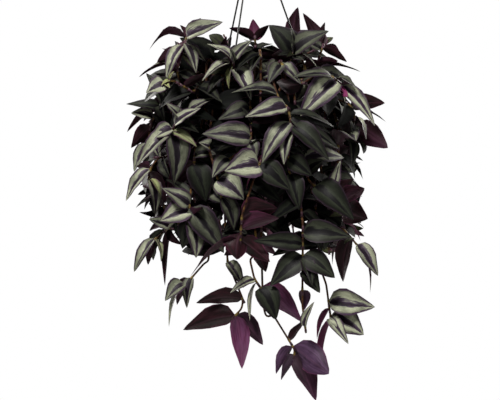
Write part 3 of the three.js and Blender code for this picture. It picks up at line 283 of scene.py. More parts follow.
def girth(z):
    """Middle, half width and half depth of the foliage at a height, in mm."""
    left, right = limits(VIEW["middle"][1] - (z - VIEW["centre"][1]) / VIEW["scale"])
    middle = VIEW["centre"][0] + ((left + right) / 2 - VIEW["middle"][0]) * VIEW["scale"]
    half = (right - left) / 2 * VIEW["scale"]
    return middle, half, half if z > POT["rim"] else max(half, DEPTH_HALF)


def depth_in(point):
    """How far out a point is: 0 at the middle of the foliage and 1 at its outside."""
    middle, half, depth = girth(point[2])
    return math.hypot((point[0] - middle) / half, point[1] / depth)


def inside(point):
    """Whether a point is within the foliage's limits."""
    across, down = seen(point)
    left, right = limits(down)
    level = OUTLINE[0][0] < down < OUTLINE[-1][0] and left < across < right
    return level and depth_in(point) < DEPTH_SLACK


def rooted(first, ring, turn):
    """A stem's way from its hole: up out of the soil and, if it hangs, over the rim."""
    bearing = math.atan2(first[1], first[0]) + math.radians(turn)
    soil = POT["rim"] - SOIL["below"]
    out = RINGS[ring]
    start = [polar(out, bearing, soil - SOIL["hole_depth"] + GAP), polar(out, bearing, soil + ROOT["above"])]
    within = math.hypot(first[0], first[1]) < POT["inside"] + ROOT["within"]
    if within or first[2] > POT["rim"] + ROOT["high"]:
        return start
    lift = ROOT["lift"][0] - ring * ROOT["lift"][1]
    over = POT["lip"] + ROOT["over"][0] - ring * ROOT["over"][1]
    start.append(polar((out + over) / 2, bearing, POT["rim"] + lift))
    start.append(polar(over, bearing, POT["rim"] + lift * ROOT["down"]))
    return start


def root_try(attempt):
    """Turn and shift of ring at a try: each leaves the soil further round, then in another ring."""
    step = attempt % ROOT_TRIES["turns"]
    turn = math.ceil(step / 2) * ROOT_TRIES["apart"] * (-1 if step % 2 == 0 else 1)
    return turn, attempt // ROOT_TRIES["turns"]


def front_route(shoot, attempt):
    """Route of a front shoot through its picture points."""
    turn, shift = root_try(attempt)
    way = [at(*point) for point in shoot.way]
    return [*rooted(way[0], (shoot.ring + shift) % len(RINGS), turn), *way]


def around_route(key, attempt):
    """Route of a long hanging shoot at the side or the back."""
    turn, shift = root_try(attempt)
    odd = key % 2
    angle = math.radians(AROUND["first"] + AROUND["apart"] * key + turn)
    behind = AROUND["behind"] * odd * max(0, math.sin(angle))
    length = between(AROUND["end"], DRAW["length"], key) + behind
    drops = math.floor(length / AROUND["step"] + 0.5)
    start = POT["lip"] + AROUND["out"]
    way = []
    for k in range(drops + 1):
        z = POT["rim"] - AROUND["below"] - (length - AROUND["below"]) * k / drops
        middle, half, depth = girth(z)
        spread = min(1, AROUND["spread"][0] + k * AROUND["spread"][1])
        sway = angle + math.radians(between((-AROUND["sway"], AROUND["sway"]), DRAW["sway"], key, k))
        wide = start + (half * AROUND["reach"][odd] - start) * spread
        deep = start + (depth * AROUND["reach"][odd] - start) * spread
        way.append(np.array([middle * spread + wide * math.cos(sway), deep * math.sin(sway), z]))
    return [*rooted(way[0], (AROUND["rings"][odd] + shift) % len(RINGS), 0), *way]


def rising_route(row, attempt):
    """Route of a short shoot that rises and leans out at the back."""
    bearing, ring, reach, tip = row
    turn, shift = root_try(attempt)
    angle = math.radians(bearing + turn)
    way = [polar(reach * RISE["part"], angle, POT["rim"] + RISE["height"]), polar(reach, angle, tip)]
    return [*rooted(way[0], (ring + shift) % len(RINGS), 0), *way]


def smooth_way(route):
    """Points along the smooth curve through a route, STEM fine of them for each stretch."""
    route = np.array(route)
    ends = [2 * route[0] - route[1], *route, 2 * route[-1] - route[-2]]
    points = []
    for before, first, last, after in zip(ends, ends[1:], ends[2:], ends[3:]):
        for k in range(STEM["fine"]):
            t = k / STEM["fine"]
            rise, fall = (last - before) / 2, (after - first) / 2
            square = -3 * first + 3 * last - 2 * rise - fall
            cube = 2 * first - 2 * last + rise + fall
            points.append(first + rise * t + square * t**2 + cube * t**3)
    return np.array([*points, route[-1]])


def chord_points(route):
    """The straight chords that a stem is made of."""
    fine = smooth_way(route)
    headings = np.diff(fine, axis=0)
    headings /= np.linalg.norm(headings, axis=1)[:, None]
    points = [fine[0]]
    kept = 0
    for k in range(1, len(headings)):
        turn = math.acos(np.clip(headings[k] @ headings[kept], -1, 1))
        long = np.linalg.norm(fine[k] - fine[kept]) > STEM["chord"]
        if k == STEM["fine"] or (k > STEM["fine"] and (long or turn > math.radians(STEM["turn"]))):
            points.append(fine[k])
            kept = k
    return np.array([*points, fine[-1]])


class Stem:
    """A stem: its chords, its length so far at each of their ends, and its leaves."""

    def __init__(self, name, shoot, route):
        self.name = name
        self.shoot = shoot
        self.kind = "front" if shoot else name.split("_")[0]
        self.points = chord_points(route)
        steps = np.linalg.norm(np.diff(self.points, axis=0), axis=1)
        self.lengths = np.concatenate([[0], np.cumsum(steps)])
        self.total = self.lengths[-1]
        self.distances = np.arange(0, self.total - STEM["end"], STEM["mark"])
        self.marks = np.array([self.along(distance)[0] for distance in self.distances])
        self.leaves = []

    def along(self, distance):
        """Point and heading at a distance from the stem's start."""
        k = 1
        while k < len(self.points) - 1 and self.lengths[k] < distance:
            k += 1
        part = (distance - self.lengths[k - 1]) / (self.lengths[k] - self.lengths[k - 1])
        step = self.points[k] - self.points[k - 1]
        return self.points[k - 1] + step * part, unit(step)

    def nearest_seen(self, across, down):
        """The mark that the picture shows nearest to a picture point, and how far along it is."""
        x, y = seen(self.marks)
        best = np.argmin(np.hypot(x - across, y - down))
        return self.marks[best], self.distances[best]

    def leafy_stretch(self):
        """The stretch that bears leaves by the rule."""
        out = np.hypot(self.marks[:, 0], self.marks[:, 1]) > POT["lip"] + BARE["past"]
        start = self.distances[np.argmax(out | (self.marks[:, 2] > POT["rim"] + BARE["above"]))]
        if not self.shoot:
            return start, self.total - STEM["end"]
        first = at(*self.shoot.way[0])
        return start, max(start, self.distances[np.argmin(np.linalg.norm(self.marks - first, axis=1))])


class Leaf:
    """A blade: base and tip, the way its upper face looks, width and arch, in mm."""

    def __init__(self, base, tip, normal, wide, arch, where):
        self.base = base
        self.tip = tip
        self.length = np.linalg.norm(tip - base)
        self.axis = (tip - base) / self.length
        self.normal = normal
        self.across = np.cross(self.axis, normal)
        self.wide = wide
        self.arch = arch
        self.where = where

    def section(self, part, grow=1):
        """Left edge, midrib and right edge at a part of the length."""
        half = self.wide / 2 * half_width(part) * grow
        rise = self.arch * self.length * arch_at(part)
        middle = self.base + self.axis * self.length * part + self.normal * rise
        edge = self.normal * half * fold_at(part)
        return middle - self.across * half + edge, middle, middle + self.across * half + edge


def half_width(part):
    """A blade's half width at a part of its length, as a part of the widest."""
    return math.sin(math.pi * part ** FORM["outline"][0]) ** FORM["outline"][1]


def arch_at(part):
    """A blade's arch at a part of its length, as a part of the most."""
    return 4 * part * (1 - part) * (FORM["lean"][0] - FORM["lean"][1] * part)


def fold_at(part):
    """How far a blade's edges rise at a part of its length, as a part of its half width there."""
    return FORM["fold"][0] - FORM["fold"][1] * part


def turned(vector, axis, degrees):
    """A vector turned about an axis."""
    angle = math.radians(degrees)
    aside = np.cross(axis, vector)
    return vector * math.cos(angle) + aside * math.sin(angle) + axis * (axis @ vector) * (1 - math.cos(angle))


def square_to(reference, axis):
    """The part of a reference that is square to an axis, at length 1."""
    return unit(reference - axis * (reference @ axis))


def placed_leaf(stem, row, keys, attempt):
    """A front shoot's leaf at its place in the picture, loosened with each try."""
    across, down, tip_across, tip_down, nearer, wide, face, *arch = row
    base, where = stem.nearest_seen(across, down)
    loose = min(attempt, LOOSE["full"]) / LOOSE["full"]
    near, aside, below, turn = (between(LOOSE[way], *keys, attempt, k) * loose
                                for k, way in enumerate(("near", "tip", "tip", "face"), 1))
    tip = at(tip_across + aside, tip_down + below, nearer + near - base[1])
    axis = unit(tip - base)
    face = (face + turn) * (1 if axis[0] < 0 else -1)
    normal = turned(square_to(np.array([0.0, -1.0, 0.0]), axis), axis, face)
    return Leaf(base, tip, normal, wide, arch[0] if arch else ARCH, where)


def ruled_leaf(stem, where, rank, keys, attempt, size=1):
    """A leaf drawn from the rule's ranges, on one of the stem's two sides."""
    base, heading = stem.along(where)
    outward = unit(np.array([base[0] - girth(base[2])[0], base[1], 0]))
    sideways = np.array([-outward[1], outward[0], 0]) * rank
    spread = math.radians(between(RULE["front_spread"] if stem.shoot else RULE["spread"], *keys, attempt, 1))
    climb = between(RULE["climb"] if heading[2] > 0 else RULE["droop"], *keys, attempt, 2)
    axis = unit(outward * math.cos(spread) + sideways * math.sin(spread) + np.array([0, 0, climb]))
    young = min(1, RULE["youngest"] + (stem.total - where) / RULE["growing"])
    length = between(RULE["length"], *keys, attempt, 3) * young * size
    light = outward * RULE["light"][0] + np.array([0, 0, RULE["light"][1]])
    flip = RULE["flip"] if chance(*keys, attempt, 4) < RULE["flips"] else 0
    normal = turned(square_to(light, axis), axis, flip + between(RULE["roll"], *keys, attempt, 5))
    wide = length * between(RULE["wide"], *keys, attempt, 6)
    return Leaf(base, base + axis * length, normal, wide, between(RULE["arch"], *keys, attempt, 7), where)


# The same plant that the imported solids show: at each stem and leaf, the try that the solids were made from.
# It is told by the corners at the stem's end and at the leaf's tip, with how far off they may be in mm.

PACKED = {"end": 3, "off": 0.02, "tip": 0.1, "digits": 3}


def corners_of(node):
    """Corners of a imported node, in mm."""
    mesh = NODES[node].data
    corners = np.empty(len(mesh.vertices) * 3, np.float32)
    mesh.vertices.foreach_get("co", corners)
    return np.unique(np.round(corners.reshape(-1, 3).astype(float) / MM, PACKED["digits"]), axis=0)


def stem_as_packed(name, shoot, route_try, corners):
    """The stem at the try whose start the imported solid's end lies round."""
    for attempt in range(ROOT_TRIES["turns"] * len(RINGS)):
        route = route_try(attempt)
        nearest = np.sort(np.linalg.norm(corners - route[0], axis=1))[:PACKED["end"]]
        if np.all(np.abs(nearest - STEM["radius"]) < PACKED["off"]):
            return Stem(name, shoot, route)
    raise RuntimeError(f"the packed solid {name} starts at none of its holes")


def leaf_as_packed(leaf_try, tips):
    """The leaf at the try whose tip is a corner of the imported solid, or None where it was left out."""
    for attempt in range(TRIES):
        leaf = leaf_try(attempt)
        if tips.find(leaf.tip)[2] < PACKED["tip"]:
            return leaf
    return None


def grow_stem(name, shoot, route_try, key):
    """A stem and its leaves, as packed."""
    corners = corners_of(name)
    tips = KDTree(len(corners))
    for k, corner in enumerate(corners):
        tips.insert(corner, k)
    tips.balance()
    stem = stem_as_packed(name, shoot, route_try, corners)
    for k, row in enumerate(shoot.leaves if shoot else ()):
        leaf = leaf_as_packed(partial(placed_leaf, stem, row, (key, k)), tips)
        if leaf:
            leaf.row = row
        stem.leaves.append(leaf)
    start, end = stem.leafy_stretch()
    count = max(1, math.floor((end - start) / SPACING[stem.kind] + 0.5))
    for k in range(1 if shoot else 0, count + 1):
        where = start + (end - start) * k / count
        rank = 1 if k % 2 == 0 else -1
        keys = (key, DRAW["rule"] + k)
        stem.leaves.append(leaf_as_packed(partial(ruled_leaf, stem, where, rank, keys), tips))
    return stem


def grow_plant():
    """Every stem of the plant, in the order that the solids grew in."""
    wanted = [(shoot.name, shoot, partial(front_route, shoot)) for shoot in map(Shoot._make, SHOOTS)]
    wanted += [(f"around_{k + 1}", None, partial(around_route, k)) for k in range(AROUND["count"])]
    wanted += [(f"rising_{k + 1}", None, partial(rising_route, row)) for k, row in enumerate(RISING)]
    return [grow_stem(*each, key) for key, each in enumerate(wanted)]


# Materials: procedural, with their patterns' sizes worked out in millimetres


def linear(code):
    """Linear colour of an sRGB hex value."""
    parts = [int(code[k:k + 2], 16) / 255 for k in (1, 3, 5)]
    return tuple(c / 12.92 if c <= 0.04045 else ((c + 0.055) / 1.055) ** 2.4 for c in parts)


def rgba(colour):
    """A colour as a socket takes it, from numbers, a hex value or the name of one of the user's colours."""
    if isinstance(colour, str):
        own = bpy.context.scene.tradescantia_colours
        colour = linear(colour) if colour.startswith("#") else getattr(own, colour)
    return (*colour, 1.0)


def add(tree, kind, *given, stops=(), **settings):
    """Adds a node with its settings, and with a colour ramp's stops. Its inputs come in order or as a dict,
    each a value, a socket, a node whose first output is meant, or a list of these. A kind in capitals is an
    operation of the Math node."""
    if kind.isupper():
        kind, settings["operation"] = "Math", kind
    node = tree.nodes.new(kind if "Node" in kind else f"ShaderNode{kind}")
    for name, value in settings.items():
        setattr(node, name, value)
    if stops:
        node.color_ramp.interpolation = "EASE"
        marks = node.color_ramp.elements
        while len(marks) < len(stops):
            marks.new(0.5)
        for mark, (place, colour) in zip(marks, stops):
            mark.position, mark.color = place, rgba(colour)
    if given and isinstance(given[0], dict):
        pairs = [(node.inputs[name], source) for name, source in given[0].items()]
    else:
        pairs = zip([socket for socket in node.inputs if socket.enabled], given)
    for socket, sources in pairs:
        for source in sources if isinstance(sources, list) else [sources]:
            if isinstance(source, bpy.types.Node):
                source = next(output for output in source.outputs if output.enabled)
            if isinstance(source, bpy.types.NodeSocket):
                tree.links.new(source, socket)
            else:
                socket.default_value = rgba(source) if socket.type == "RGBA" else source
    return node


def leaf_places(put):
    """Places on a leaf: across and along in mm, from midrib to margin and from foot to tip as parts of these
    ways. With them its seed and its look."""
    part = put("SeparateXYZ", put("UVMap", uv_map="UVMap")).outputs
    size, look = (put("SeparateXYZ", put("Attribute", attribute_name=name).outputs["Vector"]).outputs
                  for name in ("size", "look"))
    off = put("SUBTRACT", part[0], 0.5)
    return {"across": put("MULTIPLY", off, size[0]), "along": put("MULTIPLY", part[1], size[1]),
            "margin": put("MULTIPLY", put("ABSOLUTE", off), 2.0), "part": part[1], "seed": size[2],
            "silver": look[0], "young": look[1], "shade": look[2]}


def streaks(put, leaf, size):
    """Noise drawn out along the blade: its size across and along, in mm."""
    return put("TexNoise", put("CombineXYZ", put("DIVIDE", leaf["across"], size[0]),
                               put("DIVIDE", leaf["along"], size[1]), leaf["seed"]), 1.0)


def layered(put, colour, layers):
    """A colour with others laid over it, each with its part and the way that it is laid."""
    for part, over, way in layers:
        colour = put("Mix", part, colour, over, data_type="RGBA", blend_type=way)
    return colour


def leaf_skin(put, leaf, look, colour, coarse, rough):
    """What both faces of a leaf share: painted shade that darkens it towards near black deeper inside the
    plant, finely veined, satin.
    """
    # Painted shade: the leaf's shade attribute mixes its colour towards the near black of the face's dark
    # colour.
    colour = layered(put, colour, [(put("MULTIPLY", leaf["shade"], look["dim"]), look["dark"], "MIX")])
    veins = put("SINE", put("MULTIPLY", leaf["across"], 2 * math.pi / VEINS["apart"]))
    bump = put("Bump", {"Strength": look["veins"], "Distance": VEINS["height"], "Height": veins})
    rough = put("MULTIPLY_ADD", coarse, look["rough"], rough)
    return {"Base Color": colour, "Roughness": rough, "Normal": bump}


# Leaf faces. Sizes of streaks are across and along, in mm, and other pairs are a factor and what is added.
# Veins are one for each mm of the width, as coarse as they need to be to show, and 0.08 mm high.

VEINS = {"apart": 1.0, "height": 0.00008}
SATIN = 0.4
# In UPPER, dim and dark are the painted shade: how far it darkens a leaf, and the near black that it darkens
# to.
UPPER = {"coarse": (4, 26), "fine": (1.1, 14), "speck": (1.2, 2.6), "cloud": (11, 19), "own": 7.3,
         "narrow": -0.39, "shift": (0.5, 0.4, -0.16, -0.6, 0.9), "foot": 0.36, "middle": 0.4, "ends": 3.0,
         "clouds": (2.4, -0.2), "silver": 1.6, "rim": (14.0, -12.6), "rim_part": (0.6, 0.25),
         "specks": 0.8, "lines": (0.7, 0.28), "dim": 0.9, "dark": "#070908", "shaded": 0.3, "rough": 0.2,
         "veins": 0.35}
DARK_BANDS = ((0.0, "#080709"), (0.13, "#0D0C0D"), (0.28, "green"), (0.5, "#1F231B"), (0.75, "#12130F"),
              (0.9, "#151012"))
SILVER_BANDS = ((0.0, "#2A1F2B"), (0.13, "#3B2D3F"), (0.22, "#5E5460"), (0.32, "silver"), (0.6, "#9CA089"),
                (0.74, "#787A69"), (0.85, "#463A48"), (0.95, "#38263A"))
YOUNG_BANDS = ((0.0, "#57484A"), (0.2, "young"), (0.7, "#7F8758"), (0.95, "#6A3F50"))
# dim and dark here are the same painted shade on the under face. low, violet and bright are painted light:
# more violet low on the plant, and brighter where light comes through.
UNDER_FACE = {"coarse": (6, 28), "fine": (1.2, 20), "low": (-0.02, -11.2), "violet": 0.75, "bright": 2.0,
              "rim": (7.0, -6.1), "lines": (1.5, 0.25), "rib": (-9.0, 1.0), "rib_part": 0.18,
              "rib_colour": "#7A5566", "dim": 0.85, "dark": "#080506", "rough": 0.15, "veins": 0.3}
OLD_SKIN = ((0.25, "under_dark"), (0.75, "under"))
# Painted light on the under face: a lighter skin where light comes through a leaf, and a lighter violet low
# on the plant.
PAINTED_LIGHT_SKIN = ((0.25, "under"), (0.8, "under_bright"))
PAINTED_LOW_LIGHT_SKIN = ((0.25, "#3B2940"), (0.8, "#664C6E"))


def upper_face(put):
    """Upper face of a living leaf: waxy skin over silver bands of air-filled cells, between dark green to
    purple stripes. Satin, speckled and streaked lengthwise on the bands, with fine veins."""
    leaf = leaf_places(put)
    names = ("coarse", "fine", "speck", "cloud")
    coarse, fine, speck, cloud = (streaks(put, leaf, UPPER[name]) for name in names)
    own = put("FRACT", put("MULTIPLY", leaf["seed"], UPPER["own"]))
    foot = put("MAXIMUM", put("SUBTRACT", UPPER["foot"], leaf["part"]), 0.0)
    ends = put("POWER", put("ABSOLUTE", put("SUBTRACT", leaf["part"], UPPER["middle"])), UPPER["ends"])
    place = put("ADD", leaf["margin"], UPPER["narrow"])
    for source, shift in zip((coarse, fine, own, foot, ends), UPPER["shift"]):
        place = put("MULTIPLY_ADD", source, shift, place)
    bands = (DARK_BANDS, SILVER_BANDS, YOUNG_BANDS)
    dark, bright, fresh = (put("ValToRGB", place, stops=stops) for stops in bands)
    clouds = put("MAXIMUM", put("MULTIPLY_ADD", cloud, *UPPER["clouds"]), 0.0)
    silver = put("MULTIPLY", put("POWER", leaf["silver"], UPPER["silver"]), clouds)
    rim = put("ADD", put("MULTIPLY_ADD", leaf["margin"], *UPPER["rim"]), fine, use_clamp=True)
    rim = put("MULTIPLY", rim, put("MULTIPLY_ADD", leaf["silver"], *UPPER["rim_part"]))
    lines = put("MULTIPLY_ADD", speck, UPPER["specks"], put("MULTIPLY_ADD", fine, *UPPER["lines"]))
    layers = [(silver, bright, "MIX"), (leaf["young"], fresh, "MIX"), (rim, "margin", "MIX"),
              (1.0, lines, "MULTIPLY")]
    rough = put("MULTIPLY_ADD", leaf["shade"], UPPER["shaded"], SATIN)
    return leaf_skin(put, leaf, UPPER, layered(put, dark, layers), coarse, rough)


def under_face(put):
    """Under face of a living leaf: smooth purple skin, redder where thin, with a paler midrib and fine lines
    lengthwise. Painted light: brighter with the leaf's silver, which on this face stands for light coming
    through it, and a lighter violet low on the plant, where more light falls."""
    leaf = leaf_places(put)
    coarse, fine = (streaks(put, leaf, UNDER_FACE[name]) for name in ("coarse", "fine"))
    skins = (OLD_SKIN, PAINTED_LIGHT_SKIN, PAINTED_LOW_LIGHT_SKIN)
    old, bright, violet = (put("ValToRGB", coarse, stops=stops) for stops in skins)
    # Painted light: lower on the plant the undersides turn a lighter violet, where more light falls.
    height = put("SeparateXYZ", plant_place(put)).outputs[2]
    low = put("MULTIPLY_ADD", height, *UNDER_FACE["low"], use_clamp=True)
    bright = layered(put, bright, [(put("MULTIPLY", low, UNDER_FACE["violet"]), violet, "MIX")])
    # Painted light: the leaf's silver brightens its under face, as light coming through it.
    lit = put("POWER", leaf["silver"], UNDER_FACE["bright"])
    rim = put("MULTIPLY", put("MULTIPLY_ADD", leaf["margin"], *UNDER_FACE["rim"]), coarse, use_clamp=True)
    rib = put("MULTIPLY_ADD", leaf["margin"], *UNDER_FACE["rib"], use_clamp=True)
    colour = layered(put, old, [
        (lit, bright, "MIX"), (leaf["young"], "magenta", "MIX"), (rim, "magenta", "MIX"),
        (1.0, put("MULTIPLY_ADD", fine, *UNDER_FACE["lines"]), "MULTIPLY"),
        (put("MULTIPLY", rib, UNDER_FACE["rib_part"]), UNDER_FACE["rib_colour"], "MIX"),
    ])
    return leaf_skin(put, leaf, UNDER_FACE, colour, coarse, SATIN)


def plant_place(put):
    """A point's place on the plant, in mm."""
    place = put("TexCoord").outputs["Object"]
    return put("VectorMath", {"Vector": place, "Scale": 1 / MM}, operation="SCALE")


def grained(put, patches, stops, bump, grain=None):
    """A skin in patches, with its grain in relief. Each noise is how many blotches pass in a mm, its detail
    and its roughness. Without a grain, the patches themselves stand out."""
    tone = put("TexNoise", plant_place(put), *patches)
    height = put("TexNoise", plant_place(put), *grain) if grain else tone
    return {"Base Color": put("ValToRGB", tone, stops=stops),
            "Normal": put("Bump", {"Strength": bump[0], "Distance": bump[1], "Height": height})}


def stem_skin(put, part, *pattern):
    """A grained skin that turns to another colour at the leaf joints."""
    skin = grained(put, *pattern)
    knot = put("MULTIPLY", put("Attribute", attribute_name="knot").outputs["Fac"], part)
    return {**skin, "Base Color": layered(put, skin["Base Color"], [(knot, "knot", "MIX")])}


def shares_of(colour, shares):
    """Stops of a colour ramp: shares of one colour, each at its place."""
    return [(place, [share * part for part in rgba(colour)[:3]]) for place, share in shares]


MOULD = {"scuffs": (0.06, 4.0, 0.6), "tones": ((0.3, 0.7), (0.7, 1.35)), "height": 0.0001, "detail": 3.0,
         "rough": 0.22, "smoother": 0.1}


def moulded(put, colour, rough, grain, strength):
    """Moulded plastic, dark and satin, with the fine grain of the mould, in mm, and faint scuffs."""
    scuffs = put("TexNoise", plant_place(put), *MOULD["scuffs"])
    height = put("TexNoise", plant_place(put), 1 / grain, MOULD["detail"])
    return {"Base Color": put("ValToRGB", scuffs, stops=shares_of(colour, MOULD["tones"])),
            "Roughness": put("MULTIPLY_ADD", scuffs, MOULD["rough"], rough - MOULD["smoother"]),
            "Normal": put("Bump", {"Strength": strength, "Distance": MOULD["height"], "Height": height})}


def paper(put, patches, shares):
    """Matt paper, faintly uneven."""
    tone = put("TexNoise", plant_place(put), *patches)
    return {"Base Color": put("ValToRGB", tone, stops=shares_of("floor", shares))}


# Each material: its name, how it is made and with what, and what is the same all over its surface

PLASTIC = {"IOR": 1.49, "Specular IOR Level": 0.25}
MATERIALS = {
    "upper": ("leaf_upper", upper_face, (), {"Specular IOR Level": 0.15}),
    "under": ("leaf_under", under_face, (), {"Specular IOR Level": 0.18}),
    # Shaded copies of the leaf materials for the fillers deep inside the plant: painted shade, with less
    # specular where little light reaches their wax
    "inner_upper": ("inner_leaf_upper", upper_face, (), {"Specular IOR Level": 0.04}),
    "inner_under": ("inner_leaf_under", under_face, (), {"Specular IOR Level": 0.05}),
    # Living stem: smooth reddish brown skin, yellow green at the leaf joints
    "stem": ("stem_skin", stem_skin, (
        0.6, (0.18, 3.0), ((0.3, "#22150F"), (0.5, "stem"), (0.75, "#7A5A2E")), (0.3, 0.0001), (1.5, 2.0),
    ), {"Specular IOR Level": 0.15, "Roughness": 0.6}),
    # Leaf sheath: thin papery skin, magenta to brown, blotched and faintly wrinkled
    "sheath": ("leaf_sheath", grained, (
        (0.5, 3.0), ((0.3, "#2C171E"), (0.55, "sheath"), (0.8, "#5E4C40")), (0.4, 0.0002),
    ), {"Specular IOR Level": 0.35, "Roughness": 0.55}),
    # Injection-moulded polypropylene and the strands' coating: dark, satin, faintly scuffed
    "pot": ("pot_plastic", moulded, ("pot", 0.5, 0.8, 0.25), PLASTIC),
    "hook": ("hook_plastic", moulded, ("hanger", 0.4, 0.6, 0.15), PLASTIC),
    "strand": ("strand_coating", moulded, ("hanger", 0.45, 0.5, 0.3), PLASTIC),
    # Potting soil: dull, dark brown peat with lighter crumbs of bark about 2 mm across
    "soil": ("potting_soil", grained, (
        (0.5, 4.0, 0.65), ((0.3, "#130D09"), (0.55, "soil"), (0.75, "#4B3826")), (0.7, 0.0008),
    ), {"Specular IOR Level": 0.2, "Roughness": 0.95}),
    # Studio floor: matt white paper
    "floor": ("studio_floor", paper, ((0.004, 2.0), ((0.2, 0.97), (0.8, 1.0))),
              {"Specular IOR Level": 0.2, "Roughness": 0.9}),
}
MADE = {}


def material(key):
    """The material of that key, made on first use."""
    if key not in MADE:
        name, recipe, pattern, constants = MATERIALS[key]
        made = bpy.data.materials.new(name)
        made.use_nodes = True
        made.node_tree.nodes.clear()
        put = partial(add, made.node_tree)
        put("OutputMaterial", put("BsdfPrincipled", {**constants, **recipe(put, *pattern)}))
        MADE[key] = made
    return MADE[key]


# Leaves that the solids leave out: the many inner, side and back ones of a dense plant. Each is clear of the
# leaves, stems, pot and hanger, and hides none of the front leaves from the photograph's side.

FILL = {"apart": {"front": 11, "around": 8, "rising": 8}, "tries": 14, "sizes": (0.75, 1.05), "end": 6,
        "above_soil": 18, "front": 60, "edge_on": 0.3, "size_draw": 8}
SHEET = {"parts": (0.2, 0.4, 0.65, 0.88, 0.995), "grow": 1.06}
HIDES = (0.35, 0.7)
KEEPS = (0.35, 0.6, 0.85)
ASIDE = np.array([0.3, 1, 0.2])

# Where the foliage ends below, in picture points, and the gaps that the photograph shows through it, each
# with its middle and radius. Fillers keep to the first and clear of the second.

UNDER = [(118, 198), (138, 214), (150, 224), (166, 244), (184, 252), (198, 252), (206, 238), (214, 238),
         (222, 248), (238, 258), (268, 262), (284, 256), (300, 252), (318, 256), (330, 262), (342, 272),
         (356, 266), (368, 252), (390, 250)]
GAPS = [(218, 212, 5), (204, 236, 8), (292, 232, 6), (297, 247, 4)]


def sheet_of(leaf):
    """Corners and faces of the blade's surface, coarse, for clearance tests."""
    rows = [leaf.section(part, SHEET["grow"]) for part in SHEET["parts"]]
    corners = [tuple(point) for row in rows for point in row]
    faces = []
    for k in range(0, len(corners) - 3, 3):
        faces += [(k, k + 1, k + 4, k + 3), (k + 1, k + 2, k + 5, k + 4)]
    return corners, faces


class Standing:
    """What stands already, each thing with its box and its surface."""

    def __init__(self):
        self.lows = []
        self.highs = []
        self.trees = []

    def put(self, corners, faces):
        """Adds a surface."""
        self.lows.append(np.min(corners, axis=0))
        self.highs.append(np.max(corners, axis=0))
        self.trees.append(BVHTree.FromPolygons(corners, faces))

    def blocks(self, corners, faces):
        """Whether anything that stands crosses a surface."""
        low, high = np.min(corners, axis=0), np.max(corners, axis=0)
        near = np.all((np.array(self.lows) < high) & (np.array(self.highs) > low), axis=1)
        tree = BVHTree.FromPolygons(corners, faces)
        return any(self.trees[k].overlap(tree) for k in np.nonzero(near)[0])


def prism_of(first, last, radius):
    """A square tube round a stretch of stem."""
    axis = unit(last - first)
    side = square_to(ASIDE, axis) * radius
    other = np.cross(axis, side)
    corners = [tuple(end + turn) for end in (first, last) for turn in (side, other, -side, -other)]
    return corners, [(k, (k + 1) % 4, (k + 1) % 4 + 4, k + 4) for k in range(4)]


def standing_plant(stems):
    """The hanger, pot, stems and packed leaves, to keep clear of."""
    standing = Standing()
    for name in ("pot", "soil", "hook", *(f"strand_{k + 1}" for k in range(len(STRAND_ANGLES)))):
        mesh = NODES[name].data
        standing.put([tuple(v.co / MM) for v in mesh.vertices], [tuple(p.vertices) for p in mesh.polygons])
    for stem in stems:
        for first, last in zip(stem.points, stem.points[1:]):
            standing.put(*prism_of(first, last, STEM["radius"]))
        for leaf in filter(None, stem.leaves):
            standing.put(*sheet_of(leaf))
    return standing


def front_surface(stems):
    """The front shoots' own leaves as one surface."""
    corners, faces = [], []
    for stem in stems:
        for leaf in stem.leaves[: len(stem.shoot.leaves)] if stem.shoot else ():
            if leaf:
                more, quads = sheet_of(leaf)
                faces += [tuple(corner + len(corners) for corner in quad) for quad in quads]
                corners += more
    return BVHTree.FromPolygons(corners, faces)


def samples_of(leaf, parts):
    """A leaf's tip, and its edges and midrib at some parts of its length."""
    return [leaf.tip, *(point for part in parts for point in leaf.section(part))]


def hides_front(leaf, front):
    """Whether a front leaf lies behind this one, seen from the photograph's side."""
    eye = np.array([VIEW["centre"][0], -VIEW["distance"], VIEW["centre"][1]])
    for sample in samples_of(leaf, HIDES):
        away = unit(sample - eye)
        if front.ray_cast(Vector(sample + away), Vector(away))[0] is not None:
            return True
    return False


def keeps_within(leaf):
    """Whether a filler stays within the foliage's outline, above its lower limit and out of its gaps, and is
    not seen edge on from the front."""
    if leaf.base[1] < FILL["front"] and abs(leaf.normal[1]) < FILL["edge_on"]:
        return False
    for sample in samples_of(leaf, KEEPS):
        across, down = seen(sample)
        if not inside(sample) or down > np.interp(across, *zip(*UNDER)):
            return False
        if any(math.hypot(across - x, down - y) < radius for x, y, radius in GAPS):
            return False
    return True


# More of the leaves that the photograph shows, each on the stem it is seen nearest to: picture points of the
# base and the tip, how far the tip comes forward, width, how far it is turned, how silver it is and how young

